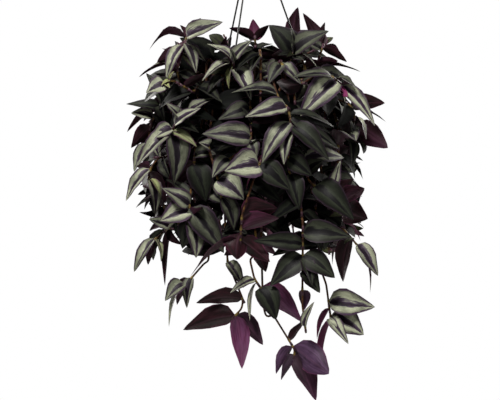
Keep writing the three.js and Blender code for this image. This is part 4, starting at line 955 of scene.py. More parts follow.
# On an under face, a row's silver is painted light coming through the leaf.
ALSO_SEEN = [
    (284, 66, 268, 84, 22, 24, 28, 0.35, 0), (284, 63, 298, 82, 22, 23, 30, 0.6, 0),
    (261, 56, 250, 72, 14, 17, 40, 0.3, 0), (280, 62, 303, 71, 6, 17, 140, 0.5, 0),
    (268, 72, 253, 84, 10, 19, 40, 0.7, 0), (262, 68, 248, 62, 8, 15, 50, 0.8, 0),
    (290, 62, 280, 80, 14, 20, 40, 0.2, 0), (280, 64, 262, 76, 12, 20, 45, 0.3, 0),
    (276, 62, 290, 78, 16, 20, 30, 0.6, 0), (288, 58, 270, 54, 10, 18, 150, 0.4, 0),
    (292, 62, 306, 56, 6, 18, 60, 0.2, 0), (200, 72, 181, 89, 10, 20, 140, 0.3, 0),
    (214, 60, 199, 70, 8, 18, 140, 0.2, 0), (243, 78, 226, 84, 10, 18, 60, 0.1, 0),
    (246, 84, 262, 92, 14, 18, 40, 0.5, 0), (226, 78, 208, 92, 4, 22, 60, 0.1, 0),
    (308, 68, 324, 62, 6, 18, 140, 0.3, 0), (183, 156, 172, 196, 22, 26, 158, 0.5, 0),
    (194, 150, 214, 166, -6, 24, 30, 0.1, 0), (331, 318, 348, 344, 30, 20, 24, 0.9, 0),
    (226, 208, 214, 224, -8, 20, 30, 0.1, 0), (322, 176, 338, 168, -6, 20, 60, 0, 0),
    (291, 122, 288, 139, 12, 7, 150, 1, 1), (261, 155, 256, 169, 10, 7, 150, 1, 1),
    (341, 84, 345, 98, 14, 9, 150, 1, 0.9), (185, 40, 177, 68, 14, 11, 152, 0.5, 0.1),
    (185, 38, 201, 19, 4, 13, 150, 0.6, 0.1), (182, 46, 160, 60, 6, 15, 150, 0.7, 0.15),
    (181, 54, 196, 70, 16, 14, 22, 0.9, 0.35), (180, 60, 166, 78, 8, 16, 150, 0.6, 0.1),
]
ALSO_NEAR = 5


def first_clear(leaves, standing):
    """The first of some leaves that crosses nothing that stands, put up there, or None."""
    for leaf in leaves:
        if not standing.blocks(*sheet_of(leaf)):
            standing.put(*sheet_of(leaf))
            return leaf
    return None


def also_seen_leaves(stems, standing):
    """Those further leaves for each stem, each where it is clear."""
    more = [[] for _ in stems]
    marks = [np.transpose(seen(stem.marks)) for stem in stems]
    for number, row in enumerate(ALSO_SEEN):
        apart = [np.hypot(*(mark - row[:2]).T) for mark in marks]
        by_depth = sorted((stem.marks[np.argmin(off), 1], key)
                          for key, (stem, off) in enumerate(zip(stems, apart)) if np.min(off) < ALSO_NEAR)
        for _, key in by_depth:
            keys = (key, DRAW["more"] + number)
            tries = (placed_leaf(stems[key], row[:7], keys, attempt) for attempt in range(TRIES))
            found = first_clear(tries, standing)
            if found:
                found.look = (*row[7:9], 0.0)
                more[key].append(found)
                break
    return more


def fill_stem(stem, key, standing, front):
    """More leaves along one stem, on its two sides in turn, each the first of its tries that stays within the
    foliage, hides no front leaf and is clear."""
    start = SOIL["hole_depth"] + FILL["above_soil"]
    end = stem.total - FILL["end"]
    count = max(1, round((end - start) / FILL["apart"][stem.kind]))
    added = []
    for k in range(count + 1):
        where = start + (end - start) * k / count
        keys = (key, DRAW["fill"] + k)
        rank = 1 if k % 2 else -1
        sizes = (between(FILL["sizes"], *keys, attempt, FILL["size_draw"])
                 for attempt in range(FILL["tries"]))
        tries = (ruled_leaf(stem, where, rank, keys, attempt, size) for attempt, size in enumerate(sizes))
        fits = (leaf for leaf in tries if keeps_within(leaf) and not hides_front(leaf, front))
        added.append(first_clear(fits, standing))
    return [leaf for leaf in added if leaf]


# Unit shapes that the Geometry Nodes trees bend, turn and repeat. Each vector of a leaf is multiplied by one
# factor of the unit blade's point and, where it has one, by a size that the user may change.

BLADE = {"rows": 8, "columns": 4, "inner_rows": 6, "inner_columns": 2, "thick": 0.3, "bulge": 0.07,
         "waves": 2.2, "out_of_step": 1.3, "ripple": 0.11, "untwisted": 0.3, "point": 2.1875,
         "point_from": 0.6, "even": 0.45, "plump": 0.02}
VECTORS = (("along", "t", None), ("across", "x", "Leaf Width"), ("arch", "r", "Leaf Arch"),
           ("lift", "f", None), ("face", "z", "Leaf Thickness"), ("ripple", "c", None),
           ("ripple_on", "s", None), ("twist", "w", None))
SHEATH_CUP = ((0, -0.3), (0.9, -0.2), (1.15, 0.2), (1.42, 1), (1.3, 0.98), (0, 0.5))
SHEATH_SIDES = 6


def link(obj):
    """Puts an object in the scene."""
    bpy.context.scene.collection.objects.link(obj)
    return obj


def attribute(mesh, name, kind, domain, values):
    """Writes one attribute from a flat row of numbers."""
    made = mesh.attributes.new(name, kind, domain)
    made.data.foreach_set("vector" if kind == "FLOAT_VECTOR" else "value", np.ravel(values))


def blade_form(across, t):
    """The eight factors that shape a blade's point at a place across (-1 to 1) and along (0 to 1)."""
    wide = half_width(t) * (1 - BLADE["point"] * max(0, t - BLADE["point_from"]) * (1 - t))
    bulge = BLADE["bulge"] * math.sin(math.pi * abs(across))
    wave = 2 * math.pi * BLADE["waves"] * t + (BLADE["out_of_step"] if across > 0 else 0)
    return {
        "t": t,
        "x": across * wide,
        "r": arch_at(t),
        "f": (abs(across) * fold_at(t) + bulge) * wide,
        "z": (1 - abs(across) ** 3) * math.sqrt(max(0, wide)),
        "c": across**2 * wide * math.cos(wave),
        "s": across**2 * wide * math.sin(wave),
        "w": across * wide * (t - BLADE["untwisted"]),
    }


def unit_blade(rows, columns):
    """A closed blade: an upper and an under skin that share their rim, with UVs across and along. Both skins
    are split into triangles alike, so that they never cross."""
    forms, grid = [], {}

    def corner(i, j, side):
        pole = i in (0, rows)
        rim = pole or j in (0, columns)
        key = (i, None if pole else j, None if rim else side)
        if key not in grid:
            share = i / rows
            t = BLADE["even"] * share + (1 - BLADE["even"]) * (0.5 - 0.5 * math.cos(math.pi * share))
            form = blade_form(0 if pole else 2 * j / columns - 1, t)
            form["z"] = 0 if rim else form["z"] * side
            grid[key] = len(forms)
            forms.append(form)
        return grid[key]

    faces, uvs, under = [], [], []
    for side in (1, -1):
        for i in range(rows):
            for j in range(columns):
                for ring in (((i, j), (i, j + 1), (i + 1, j + 1)), ((i, j), (i + 1, j + 1), (i + 1, j))):
                    face = {corner(a, b, side): b / columns for a, b in ring[::side]}
                    if len(face) == len(ring):
                        faces.append(list(face))
                        uvs += [(across, forms[key]["t"]) for key, across in face.items()]
                        under.append(side < 0)
    mesh = bpy.data.meshes.new("unit_blade")
    mesh.from_pydata([(form["x"], form["t"], form["z"] * BLADE["plump"]) for form in forms], [], faces)
    mesh.uv_layers.new(name="UVMap").data.foreach_set("uv", np.ravel(uvs))
    for _, factor, _ in VECTORS:
        attribute(mesh, factor, "FLOAT", "POINT", [form[factor] for form in forms])
    attribute(mesh, "under", "BOOLEAN", "FACE", under)
    sides = {}
    for face, down in zip(mesh.polygons, under):
        for edge in face.edge_keys:
            sides.setdefault(edge, set()).add(down)
    attribute(mesh, "sharp_edge", "BOOLEAN", "EDGE", [len(sides[edge.key]) > 1 for edge in mesh.edges])
    mesh.shade_smooth()
    return link(bpy.data.objects.new("unit_blade", mesh))


def lathe(name, profile, sides, scale=MM):
    """A closed solid of revolution about Z from (radius, z) points, whose ends lie on the axis."""
    build = bmesh.new()
    rings = []
    for radius, z in profile:
        angles = [2 * math.pi * k / sides for k in range(sides if radius else 1)]
        radius, z = radius * scale, z * scale
        rings.append([build.verts.new((radius * math.cos(a), radius * math.sin(a), z)) for a in angles])
    for low, high in zip(rings, rings[1:]):
        for k in range(sides):
            ring = ((low, k), (low, k + 1), (high, k + 1), (high, k))
            build.faces.new(list(dict.fromkeys(points[step % len(points)] for points, step in ring)))
    bmesh.ops.recalc_face_normals(build, faces=build.faces)
    mesh = bpy.data.meshes.new(name)
    build.to_mesh(mesh)
    build.free()
    mesh.shade_smooth()
    return link(bpy.data.objects.new(name, mesh))


# Geometry Nodes: each tree takes a carrier mesh and ends in plain meshes with their materials

KINDS = {"base": "FLOAT_VECTOR", "turn": "FLOAT_VECTOR", "sheath": "FLOAT_VECTOR", "girth": "FLOAT",
         "leafy": "BOOLEAN", "under": "BOOLEAN"}
KINDS.update({name: "FLOAT_VECTOR" for name, _, _ in VECTORS}, **{name: "FLOAT" for _, name, _ in VECTORS})
SWEPT_INPUTS = (("Thickness", "Float", 1.0), ("Sides", "Int", 8), ("Swept Material", "Material", None))


def new_tree(name, inputs, attributes=()):
    """A geometry tree with a geometry socket at each end and named inputs, each (name, kind, default): what
    adds its nodes, its inputs' sockets and the named attributes that it reads."""
    tree = bpy.data.node_groups.new(name, "GeometryNodeTree")
    tree.interface.new_socket(name="Geometry", in_out="OUTPUT", socket_type="NodeSocketGeometry")
    for label, kind, default in (("Geometry", "Geometry", None), *inputs):
        socket = tree.interface.new_socket(name=label, in_out="INPUT", socket_type=f"NodeSocket{kind}")
        if default is not None:
            socket.default_value = default
    put = partial(add, tree)
    here = {key: put("GeometryNodeInputNamedAttribute", key, data_type=KINDS[key]) for key in attributes}
    return put, put("NodeGroupInput").outputs, here


def swept(put, given, here):
    """A round section swept along the carrier's edges, as thick as its girth attribute."""
    curve = put("GeometryNodeMeshToCurve", given["Geometry"])
    ring = put("GeometryNodeCurvePrimitiveCircle", given["Sides"], 1.0)
    thick = put("MULTIPLY", here["girth"], given["Thickness"])
    tube = put("GeometryNodeSetShadeSmooth", put("GeometryNodeCurveToMesh", curve, ring, thick, True))
    return put("GeometryNodeSetMaterial", tube, True, given["Swept Material"])


def swept_tree(name):
    """Wires and cords: a round section along the carrier's edges."""
    put, given, here = new_tree(name, SWEPT_INPUTS, ("girth",))
    put("NodeGroupOutput", swept(put, given, here))


def at_leaves(put, given, here, shape, **turned):
    """A unit shape at each of the carrier's leaf points, made real."""
    shape = put("GeometryNodeObjectInfo", given[shape]).outputs["Geometry"]
    each = {"Points": given["Geometry"], "Selection": here["leafy"], "Instance": shape, **turned}
    return put("GeometryNodeRealizeInstances", put("GeometryNodeInstanceOnPoints", each))


def leafy_tree(name):
    """A leafy stem: the swept stem, and a blade and a sheath at each of the carrier's leaf points."""
    put, given, here = new_tree(name, [
        *SWEPT_INPUTS,
        *((shape, "Object", None) for shape in ("Blade", "Sheath")),
        *((f"Leaf {size}", "Float", 1.0) for size in ("Width", "Arch", "Thickness")),
        *((f"{part} Material", "Material", None) for part in ("Upper", "Under", "Sheath")),
    ], KINDS)
    place = here["base"]
    for vector, factor, size in VECTORS:
        amount = put("MULTIPLY", here[factor], given[size]) if size else here[factor]
        place = put("VectorMath", here[vector], amount, place, operation="MULTIPLY_ADD")
    blades = put("GeometryNodeSetPosition", at_leaves(put, given, here, "Blade"), True, place)
    for part, chosen in (("Upper", True), ("Under", here["under"])):
        blades = put("GeometryNodeSetMaterial", blades, chosen, given[f"{part} Material"])
    turn = put("FunctionNodeEulerToRotation", here["turn"])
    sheaths = at_leaves(put, given, here, "Sheath", Rotation=turn, Scale=here["sheath"])
    sheaths = put("GeometryNodeSetMaterial", sheaths, True, given["Sheath Material"])
    put("NodeGroupOutput", put("GeometryNodeJoinGeometry", [sheaths, blades, swept(put, given, here)]))


def made_plain(carrier, name, make, values):
    """Runs the tree of that name, made on first use, and leaves its result as the carrier's plain mesh."""
    if name not in bpy.data.node_groups:
        make(name)
    modifier = carrier.modifiers.new(name, "NODES")
    modifier.node_group = bpy.data.node_groups[name]
    for item in modifier.node_group.interface.items_tree:
        if item.in_out == "INPUT" and item.name in values:
            modifier[item.identifier] = values[item.name]
    graph = bpy.context.evaluated_depsgraph_get()
    mesh = bpy.data.meshes.new_from_object(carrier.evaluated_get(graph), preserve_all_data_layers=True,
                                           depsgraph=graph)
    spare = carrier.data
    carrier.modifiers.remove(modifier)
    carrier.data = mesh
    mesh.name = carrier.name
    bpy.data.meshes.remove(spare)
    for working in KINDS:
        if working in mesh.attributes:
            mesh.attributes.remove(mesh.attributes[working])
    return carrier


# Carriers: a stem's path and one point for each leaf, with what the tree needs to know of it

LOOK = {"stem": 1.8, "tip": 0.78, "knot": 2.4, "swell": 0.32, "step": 3.0, "rounded": 2,
        "ripple": (0.25, 1.0), "sheath": (5.5, 8.5), "sway": (-0.05, 0.05), "twist": (-0.7, 0.7),
        "fold": (1.0, 2.6), "seeds": 100, "headlong": 0.99}
FAR_OFF = -100.0


def stem_path(stem):
    """Points along a stem, its bends rounded, with their girth and how near a leaf joint they are."""
    distances = np.linspace(0, stem.total, max(4, round(stem.total / LOOK["step"])))
    points = np.array([stem.along(distance)[0] for distance in distances])
    for _ in range(LOOK["rounded"]):
        points[1:-1] = (points[:-2] + 2 * points[1:-1] + points[2:]) / 4
    joints = np.array([leaf.where for leaf in stem.leaves if leaf] or [FAR_OFF])
    gap = np.min(np.abs(distances[:, None] - joints[None, :]), axis=1)
    knots = np.exp(-((gap / LOOK["knot"]) ** 2))
    return points, girth_along(stem, distances) * (1 + LOOK["swell"] * knots), knots


def girth_along(stem, distance):
    """A stem's radius at a distance from its start, between its joints."""
    return LOOK["stem"] * (1 - (1 - LOOK["tip"]) * (distance / stem.total) ** 2)


def leaf_vectors(leaf, stem, keys):
    """The vectors, in metres, that bend and place a unit blade and its sheath."""
    half = leaf.wide / 2
    ripple = BLADE["ripple"] * half * between(LOOK["ripple"], *keys, 1)
    phase = 2 * math.pi * chance(*keys, 2)
    heading = stem.along(leaf.where)[1]
    side = square_to(leaf.axis if abs(leaf.axis @ heading) < LOOK["headlong"] else ASIDE, heading)
    turn = Matrix(np.column_stack([side, np.cross(heading, side), heading])).to_euler()
    wide = girth_along(stem, leaf.where) * MM
    return {
        "base": leaf.base * MM,
        "along": leaf.axis * leaf.length * MM,
        "across": leaf.across * half * MM,
        "arch": (leaf.normal * leaf.arch + leaf.across * between(LOOK["sway"], *keys, 5)) * leaf.length * MM,
        "lift": leaf.normal * half * between(LOOK["fold"], *keys, 6) * MM,
        "twist": leaf.normal * half * between(LOOK["twist"], *keys, 7) * MM,
        "face": leaf.normal * BLADE["thick"] * MM,
        "ripple": leaf.normal * ripple * math.cos(phase) * MM,
        "ripple_on": leaf.normal * ripple * math.sin(phase) * MM,
        "turn": tuple(turn),
        "sheath": (wide, wide, between(LOOK["sheath"], *keys, 3) * MM),
        "look": leaf.look,
        "size": (leaf.wide, leaf.length, LOOK["seeds"] * chance(*keys, 4)),
    }


def carrier(name, paths, leaves=()):
    """A mesh of paths (points, girths, knots) as edges and of leaf points with their vectors."""
    places, edges, girths, knots = [], [], [], []
    for points, thick, near in paths:
        edges += [(len(places) + k, len(places) + k + 1) for k in range(len(points) - 1)]
        places += [tuple(point * MM) for point in points]
        girths += list(np.asarray(thick) * MM)
        knots += list(near)
    bare = len(places)
    mesh = bpy.data.meshes.new(name)
    mesh.from_pydata(places + [tuple(leaf["base"]) for leaf in leaves], edges, [])
    attribute(mesh, "girth", "FLOAT", "POINT", girths + [0.0] * len(leaves))
    attribute(mesh, "knot", "FLOAT", "POINT", knots + [0.0] * len(leaves))
    attribute(mesh, "leafy", "BOOLEAN", "POINT", [False] * bare + [True] * len(leaves))
    for vector in leaves[0] if leaves else ():
        rows = [(0.0, 0.0, 0.0)] * bare + [tuple(leaf[vector]) for leaf in leaves]
        attribute(mesh, vector, "FLOAT_VECTOR", "POINT", rows)
    return link(bpy.data.objects.new(name, mesh))


# How each leaf looks: (silver, young, shade), from its place on the stem and in the plant. Shade is painted
# shade.

# old, shade, inner, front, low and shade_from set the painted shade: its fall with depth and height, its part
# on fillers and front leaves, and the silver cut where the leaves are darker.
TONES = {"silver": (0.0, 0.85), "old": 0.25, "shade": (1.0, 0.6), "young": 26, "inner": 0.5, "front": 0.35,
         "low": (232, 256), "shade_from": 0.6}
TIP_NEAR = 1.5

# Leaves whose bands stand out in the photograph, or are dark in it: the picture point of the tip, and how
# silver or how young. A low silver on an upper face is partly the leaf's own darker green and partly painted
# shade; on an under face, silver is painted light coming through the leaf.

SILVER_TIPS = {
    (299, 117): 1, (375, 126): 1, (364, 335): 1, (375, 307): 1, (250, 321): 1, (244, 200): 1, (169, 327): 1,
    (160, 221): 0.95, (202, 81): 0.95, (252, 98): 0.95, (202, 134): 0.6, (173, 184): 0.5, (225, 171): 1,
    (262, 163): 0.75, (284, 165): 0.85, (245, 117): 0.85, (293, 101): 0.9, (329, 205): 0.9, (341, 160): 1,
    (197, 147): 0.7, (201, 108): 1, (137, 166): 0.75, (223, 22): 0.75, (166, 80): 0.9, (378, 276): 1,
    (370, 293): 1, (313, 304): 1, (146, 93): 0.95, (126, 201): 0.9, (196, 258): 0.75, (252, 40): 0.7,
    (329, 31): 0.35, (269, 25): 0.1, (335, 278): 0.1, (270, 286): 0.1, (351, 237): 0.15, (253, 241): 0.1,
    (224, 253): 0.3, (206, 202): 0.05, (290, 190): 0.1, (276, 320): 0.05, (320, 293): 0.1, (312, 287): 0.15,
    (329, 160): 0.1, (354, 220): 0.05, (341, 150): 0.15, (334, 127): 0.1, (312, 176): 0.1, (300, 212): 0.1,
    (272, 200): 0.1, (181, 250): 0.1, (242, 369): 1, (253, 19): 1, (279, 218): 0.8, (277, 208): 0.1,
    (207, 44): 0.9, (216, 62): 0.5, (183, 330): 0, (196, 303): 0, (263, 345): 0.5, (329, 374): 0.95,
    (276, 374): 0.9, (281, 380): 0.8, (316, 401): 0.6, (302, 322): 1,
}
YOUNG_TIPS = {
    (161, 86): 1, (174, 71): 0.8, (170, 88): 1, (197, 147): 0.55, (161, 194): 0.8, (161, 262): 0.4,
    (346, 102): 0.9, (229, 89): 0.8, (246, 191): 0.6, (242, 369): 0.4, (279, 218): 0.1, (317, 339): 0.4,
    (321, 372): 0.4, (253, 19): 0.55, (316, 401): 0.1, (302, 322): 0.3,
}

# Where the photograph shows darker leaves, older ones and ones in shade, whose silver is cut, partly their
# own colour and partly painted shade; and where the dark inside is, whose leaves get painted shade and no
# silver: middle and half sizes, in picture points

OLD_AND_SHADED = [(302, 222, 52, 68)]
DEEP_SHADE = [(216, 112, 26, 20), (318, 178, 22, 15), (250, 178, 12, 10), (300, 205, 16, 10), (204, 160, 12, 12)]


def marked(tip, tips, otherwise):
    """The mark of a picture point among some tips."""
    near = (mark for (x, y), mark in tips.items() if math.hypot(tip[0] - x, tip[1] - y) < TIP_NEAR)
    return next(near, otherwise)


def within(places, across, down):
    """Whether a picture point is within one of some rounds."""
    return any(math.hypot((across - x) / wide, (down - y) / high) < 1 for x, y, wide, high in places)


def give_look(leaf, stem, keys, filler):
    """Sets a leaf's silver, young and painted shade, each from 0 to 1."""
    silver = between(TONES["silver"], *keys, DRAW["look"])
    across, down = seen(leaf.section(0.5)[1])
    in_front = leaf.base[1] < 0
    # Partly painted shade: leaves in the darker front rounds lose most of their silver.
    if in_front and within(OLD_AND_SHADED, across, down):
        silver *= TONES["old"]
    left = stem.total - leaf.where
    young = max(0.0, 1 - left / TONES["young"]) * chance(*keys, DRAW["look"] + 1)
    high, low = TONES["shade"]
    # Painted shade: a leaf is darker deeper inside the plant, and less so low down, where light comes in from
    # below.
    shade = min(1.0, max(0.0, (high - depth_in(leaf.section(TONES["shade_from"])[1])) / (high - low)))
    shade *= float(np.interp(down, TONES["low"], (1, 0)))
    row = getattr(leaf, "row", None)
    # Painted shade: leaves in the dark inside get no silver and full shade.
    if in_front and not row and within(DEEP_SHADE, across, down):
        silver, shade = 0, 1
    if row:
        silver = marked(row[2:4], SILVER_TIPS, silver)
        young = marked(row[2:4], YOUNG_TIPS, 0)
        shade *= TONES["front"]
    # Fillers get more painted shade.
    leaf.look = (silver, young, min(1.0, shade + TONES["inner"]) if filler else shade)


PLANT = {}


def plant():
    """The stems with their packed leaves and the fillers of each, grown once."""
    if not PLANT:
        stems = grow_plant()
        standing = standing_plant(stems)
        front = front_surface(stems)
        PLANT["stems"] = stems
        PLANT["more"] = also_seen_leaves(stems, standing)
        PLANT["fill"] = [fill_stem(stem, key, standing, front) for key, stem in enumerate(stems)]
        for key, (stem, extra) in enumerate(zip(stems, PLANT["fill"])):
            for k, leaf in enumerate([leaf for leaf in stem.leaves if leaf] + extra):
                give_look(leaf, stem, (key, k), leaf in extra)
            stem.leaves += PLANT["more"][key]
    return PLANT


def finished(piece, slot, *nodes):
    """Rides the piece on the plant's one body and hides the imported nodes that it stands in for."""
    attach(piece, "root")
    if nodes:
        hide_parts(*nodes)
    return piece


def leafy_piece(name, paths, leaves, settings, units, skin=""):
    """One piece of stems' paths and of leaves, each (leaf, stem, keys of its draws)."""
    piece = carrier(name, paths, [leaf_vectors(*each) for each in leaves])
    return made_plain(piece, "Leafy Stem", leafy_tree, {
        "Thickness": settings.stem_thickness,
        "Sides": settings.stem_sides,
        "Swept Material": material("stem"),
        "Blade": units[0],
        "Sheath": units[1],
        "Leaf Width": settings.leaf_width,
        "Leaf Arch": settings.leaf_arch,
        "Leaf Thickness": settings.leaf_thickness,
        "Upper Material": material(skin + "upper"),
        "Under Material": material(skin + "under"),
        "Sheath Material": material("sheath"),
    })


def dress_stems(kind, settings):
    """Finer pieces for the stems of one kind, and one more for the fillers among them."""
    sheath = lathe("unit_sheath", SHEATH_CUP, SHEATH_SIDES, 1)
    blade = unit_blade(BLADE["rows"], BLADE["columns"])
    inner = unit_blade(BLADE["inner_rows"], BLADE["inner_columns"])
    fillers = []
    for key, stem in enumerate(plant()["stems"]):
        if stem.kind == kind:
            own = [(leaf, stem, (key, k)) for k, leaf in enumerate(filter(None, stem.leaves))]
            piece = leafy_piece(f"{stem.name}_shoot", [stem_path(stem)], own, settings, (blade, sheath))
            finished(piece, "foliage", stem.name)
            fill = enumerate(plant()["fill"][key], DRAW["inner_look"])
            fillers += [(leaf, stem, (key, k)) for k, leaf in fill]
    # The fillers wear the shaded copies of the leaf materials: painted shade.
    piece = leafy_piece(f"{kind}_inner_leaves", [], fillers, settings, (inner, sheath), "inner_")
    finished(piece, "foliage")
    for unit_object in (blade, inner, sheath):
        bpy.data.objects.remove(unit_object)


# Pot, soil, hook and strands: roundings and steps in mm, beside the driving dimensions at the top

EDGES = {"foot": (10, 8), "round": 1, "bevel": 0.3, "mouth": 0.7, "mouth_edge": (0.1, 0.2), "steps": 8,
         "sides": 96, "crease": 32}
CRUMBS = {"rough": 1.2, "rings": 16, "steps": 6, "sides": 64, "edge": 0.1, "rim": 0.97, "level": 0.5,
          "below": 1, "dense": 90000.0, "turn": (6.28, 6.28, 6.28), "least": (0.35, 0.35, 0.25),
          "most": (1.0, 0.8, 0.6)}
WIRE = {"bend_points": 8, "every": 4, "tip": (0.92, 0.75, 0.4), "sides": 16}
HUB = {"foot": ((1.2, 0), (0.4, 0.3), (0, 1.2)), "shoulder": ((0, -1), (0.4, 0.4)),
       "top": ((0.85, 1.4), (0.7, 0.4)), "sides": 40}
CORD = {"coating": 0.35, "points": 40, "straight": 0.985, "bend": 0.99, "elbow": 0.6, "tail": 1.2,
        "sides": 10}
BEAD = ((2.4, 0.6), (1.9, 1.6), (1, 2.3), (0, 2.5), (-1, 2.3), (-1.9, 1.6), (-2.4, 0.6))


def pot_profile():
    """The pot's wall from the middle of its underside to the middle of its floor, as (radius, z)."""
    rim, inside, base, wall, lip = (POT[name] for name in ("rim", "inside", "base", "wall", "lip"))
    floor, skirt, under_lip = rim - POT["height"], rim - POT["skirt"], rim - POT["lip_thick"]
    foot = floor + POT["foot"]
    soft, bevel, mouth = EDGES["round"], EDGES["bevel"], EDGES["mouth"]
    foot_in, foot_out = (base - less for less in EDGES["foot"])
    widen, rise = inside + wall - base, under_lip - floor - soft
    shares = [k / EDGES["steps"] for k in range(1, EDGES["steps"])]
    return [
        (0, foot), (foot_in, foot), (foot_out, floor), (base - soft, floor),
        (base - bevel, floor + bevel), (base, floor + soft),
        *((base + widen * share, floor + soft + rise * share) for share in shares),
        (inside + wall, under_lip), (lip - wall, under_lip), (lip - wall, skirt), (lip - bevel, skirt),
        (lip, skirt + bevel), (lip, rim - soft), (lip - bevel, rim - bevel), (lip - soft, rim),
        (inside + mouth, rim), (inside + EDGES["mouth_edge"][0], rim - EDGES["mouth_edge"][1]),
        (inside, rim - mouth), (base - wall, foot + wall), (0, foot + wall),
    ]


def dress_pot():
    """The pot with a rounded rim, in place of the faceted one."""
    pot = lathe("pot_shell", pot_profile(), EDGES["sides"])
    build = bmesh.new()
    build.from_mesh(pot.data)
    for edge in build.edges:
        edge.smooth = edge.calc_face_angle(0) < math.radians(EDGES["crease"])
    build.to_mesh(pot.data)
    build.free()
    pot.data.materials.append(material("pot"))
    finished(pot, "pot", "pot")


def soil_bed(top):
    """The soil's sides and its uneven top, domed above its edge."""
    floor = POT["rim"] - POT["height"] + POT["foot"] + POT["wall"]
    slope = (POT["inside"] - POT["base"] + POT["wall"]) / (POT["rim"] - floor)

    def outer(z):
        return POT["base"] - POT["wall"] + slope * (z - floor) - 2 * GAP

    edge = top - SOIL["dome"]
    wide = outer(edge)
    heights = [floor + (edge - floor) * k / CRUMBS["steps"] for k in range(1, CRUMBS["steps"])]
    rows = [(0, floor + GAP), *((outer(z), z) for z in (floor + GAP, *heights))]
    for k in range(CRUMBS["rings"] + 1):
        radius = wide * (1 - k / CRUMBS["rings"])
        rows.append((radius, edge + SOIL["dome"] * min(1, (wide - radius) / (wide - SOIL["flat"]))))
    soil = lathe("soil_bed", rows, CRUMBS["sides"])
    for vertex in soil.data.vertices:
        on_top = vertex.co.z > (edge - CRUMBS["edge"]) * MM
        if on_top and vertex.co.xy.length < wide * MM * CRUMBS["rim"]:
            vertex.co.z -= CRUMBS["rough"] * MM * chance(vertex.index, 1)
    soil.data.materials.append(material("soil"))
    return soil


def crumb_tree(name):
    """Crumbs of bark and peat scattered over the top of the soil."""
    put, given, _ = new_tree(name, [
        ("Crumb Size", "Float", 0.002),
        ("Crumb Spacing", "Float", 0.004),
        ("Lowest", "Float", 0.0),
        ("Seed", "Int", 3),
        ("Crumb Material", "Material", None),
    ])
    height, upward = (put("SeparateXYZ", put(f"GeometryNodeInput{what}")).outputs[2]
                      for what in ("Position", "Normal"))
    chosen = put("MULTIPLY", put("GREATER_THAN", height, given["Lowest"]),
                 put("GREATER_THAN", upward, CRUMBS["level"]))
    points = put("GeometryNodeDistributePointsOnFaces", {
        "Mesh": given["Geometry"], "Selection": chosen, "Distance Min": given["Crumb Spacing"],
        "Density Max": CRUMBS["dense"], "Seed": given["Seed"],
    }, distribute_method="POISSON")
    turn, size = (put("FunctionNodeRandomValue", {0: least, 1: most, "Seed": given["Seed"]},
                      data_type="FLOAT_VECTOR")
                  for least, most in (((0, 0, 0), CRUMBS["turn"]), (CRUMBS["least"], CRUMBS["most"])))
    crumb = put("GeometryNodeMeshIcoSphere", given["Crumb Size"], 1)
    crumbs = put("GeometryNodeInstanceOnPoints",
                 {"Points": points, "Instance": crumb, "Rotation": turn, "Scale": size})
    crumbs = put("GeometryNodeRealizeInstances", crumbs)
    crumbs = put("GeometryNodeSetMaterial", crumbs, True, given["Crumb Material"])
    put("NodeGroupOutput", put("GeometryNodeJoinGeometry", [crumbs, given["Geometry"]]))


def dress_soil():
    """The soil with its crumbs, in place of the plain plug."""
    top = POT["rim"] - SOIL["below"]
    soil = made_plain(soil_bed(top), "Soil Crumbs", crumb_tree, {
        "Lowest": (top - SOIL["dome"] - CRUMBS["below"]) * MM,
        "Crumb Material": material("soil"),
    })
    finished(soil, "soil", "soil")


def cord_piece(name, paths, sides, key, node):
    """Swept wires or cords, each (points, girths), as one piece."""
    piece = carrier(name, [(np.array(points), girths, [0.0] * len(points)) for points, girths in paths])
    made_plain(piece, "Swept Cord", swept_tree,
               {"Thickness": 1.0, "Sides": sides, "Swept Material": material(key)})
    finished(piece, key, node)


def dress_hook():
    """The hook: a bent wire in a moulded hub."""
    angles = np.radians(np.linspace(HOOK["bend_from"], HOOK["bend_to"], WIRE["bend_points"]))
    lift = np.array([0, 0, HOOK["bend_height"]])
    bend = [lift + HOOK["bend"] * np.array([math.cos(angle), 0, math.sin(angle)]) for angle in angles]
    low, high, radius, thick = (HOOK[name] for name in ("hub_bottom", "hub_top", "hub_radius", "wire"))
    route = [np.array([0, 0, z]) for z in (high - thick, HOOK["shank_top"])]
    wire = smooth_way([*route, *bend])[::WIRE["every"]]
    girths = np.full(len(wire), thick / 2)
    girths[-len(WIRE["tip"]):] *= WIRE["tip"]
    cord_piece("hook_wire", [(wire, girths)], WIRE["sides"], "hook", "hook")
    shoulder = low + HOOK["shoulder"]
    hub = lathe("hook_hub", [
        (0, low), *((radius - less, low + up) for less, up in HUB["foot"]),
        *((radius - less, shoulder + up) for less, up in HUB["shoulder"]),
        *((thick * share, high - down) for share, down in HUB["top"]), (0, high),
    ], HUB["sides"])
    hub.data.materials.append(material("hook"))
    finished(hub, "hook", "hook")


def dress_strands():
    """The three strands, each from the hub through a hole in the lip to a bead under it."""
    up = np.array([0, 0, 1])
    for k, angle in enumerate(STRAND_ANGLES):
        bearing = math.radians(angle)
        top = polar(STRAND["top_radius"], bearing, STRAND["top_height"])
        elbow = polar(STRAND["reach"], bearing, POT["rim"] + STRAND["rise"])
        foot = polar(STRAND["reach"], bearing, POT["rim"] - POT["lip_thick"] - GAP - STRAND["bead"])
        shares = (*np.linspace(0, CORD["straight"], CORD["points"]), CORD["bend"])
        points = [top + (elbow - top) * share for share in shares]
        points += [elbow - CORD["elbow"] * up, foot, foot - CORD["tail"] * up]
        girths = [STRAND["radius"] + CORD["coating"]] * len(points)
        bead = ([foot + z * up for z, _ in BEAD], [radius for _, radius in BEAD])
        node = f"strand_{k + 1}"
        cord_piece(f"hanger_{node}", [(points, girths), bead], CORD["sides"], "strand", node)


# Studio

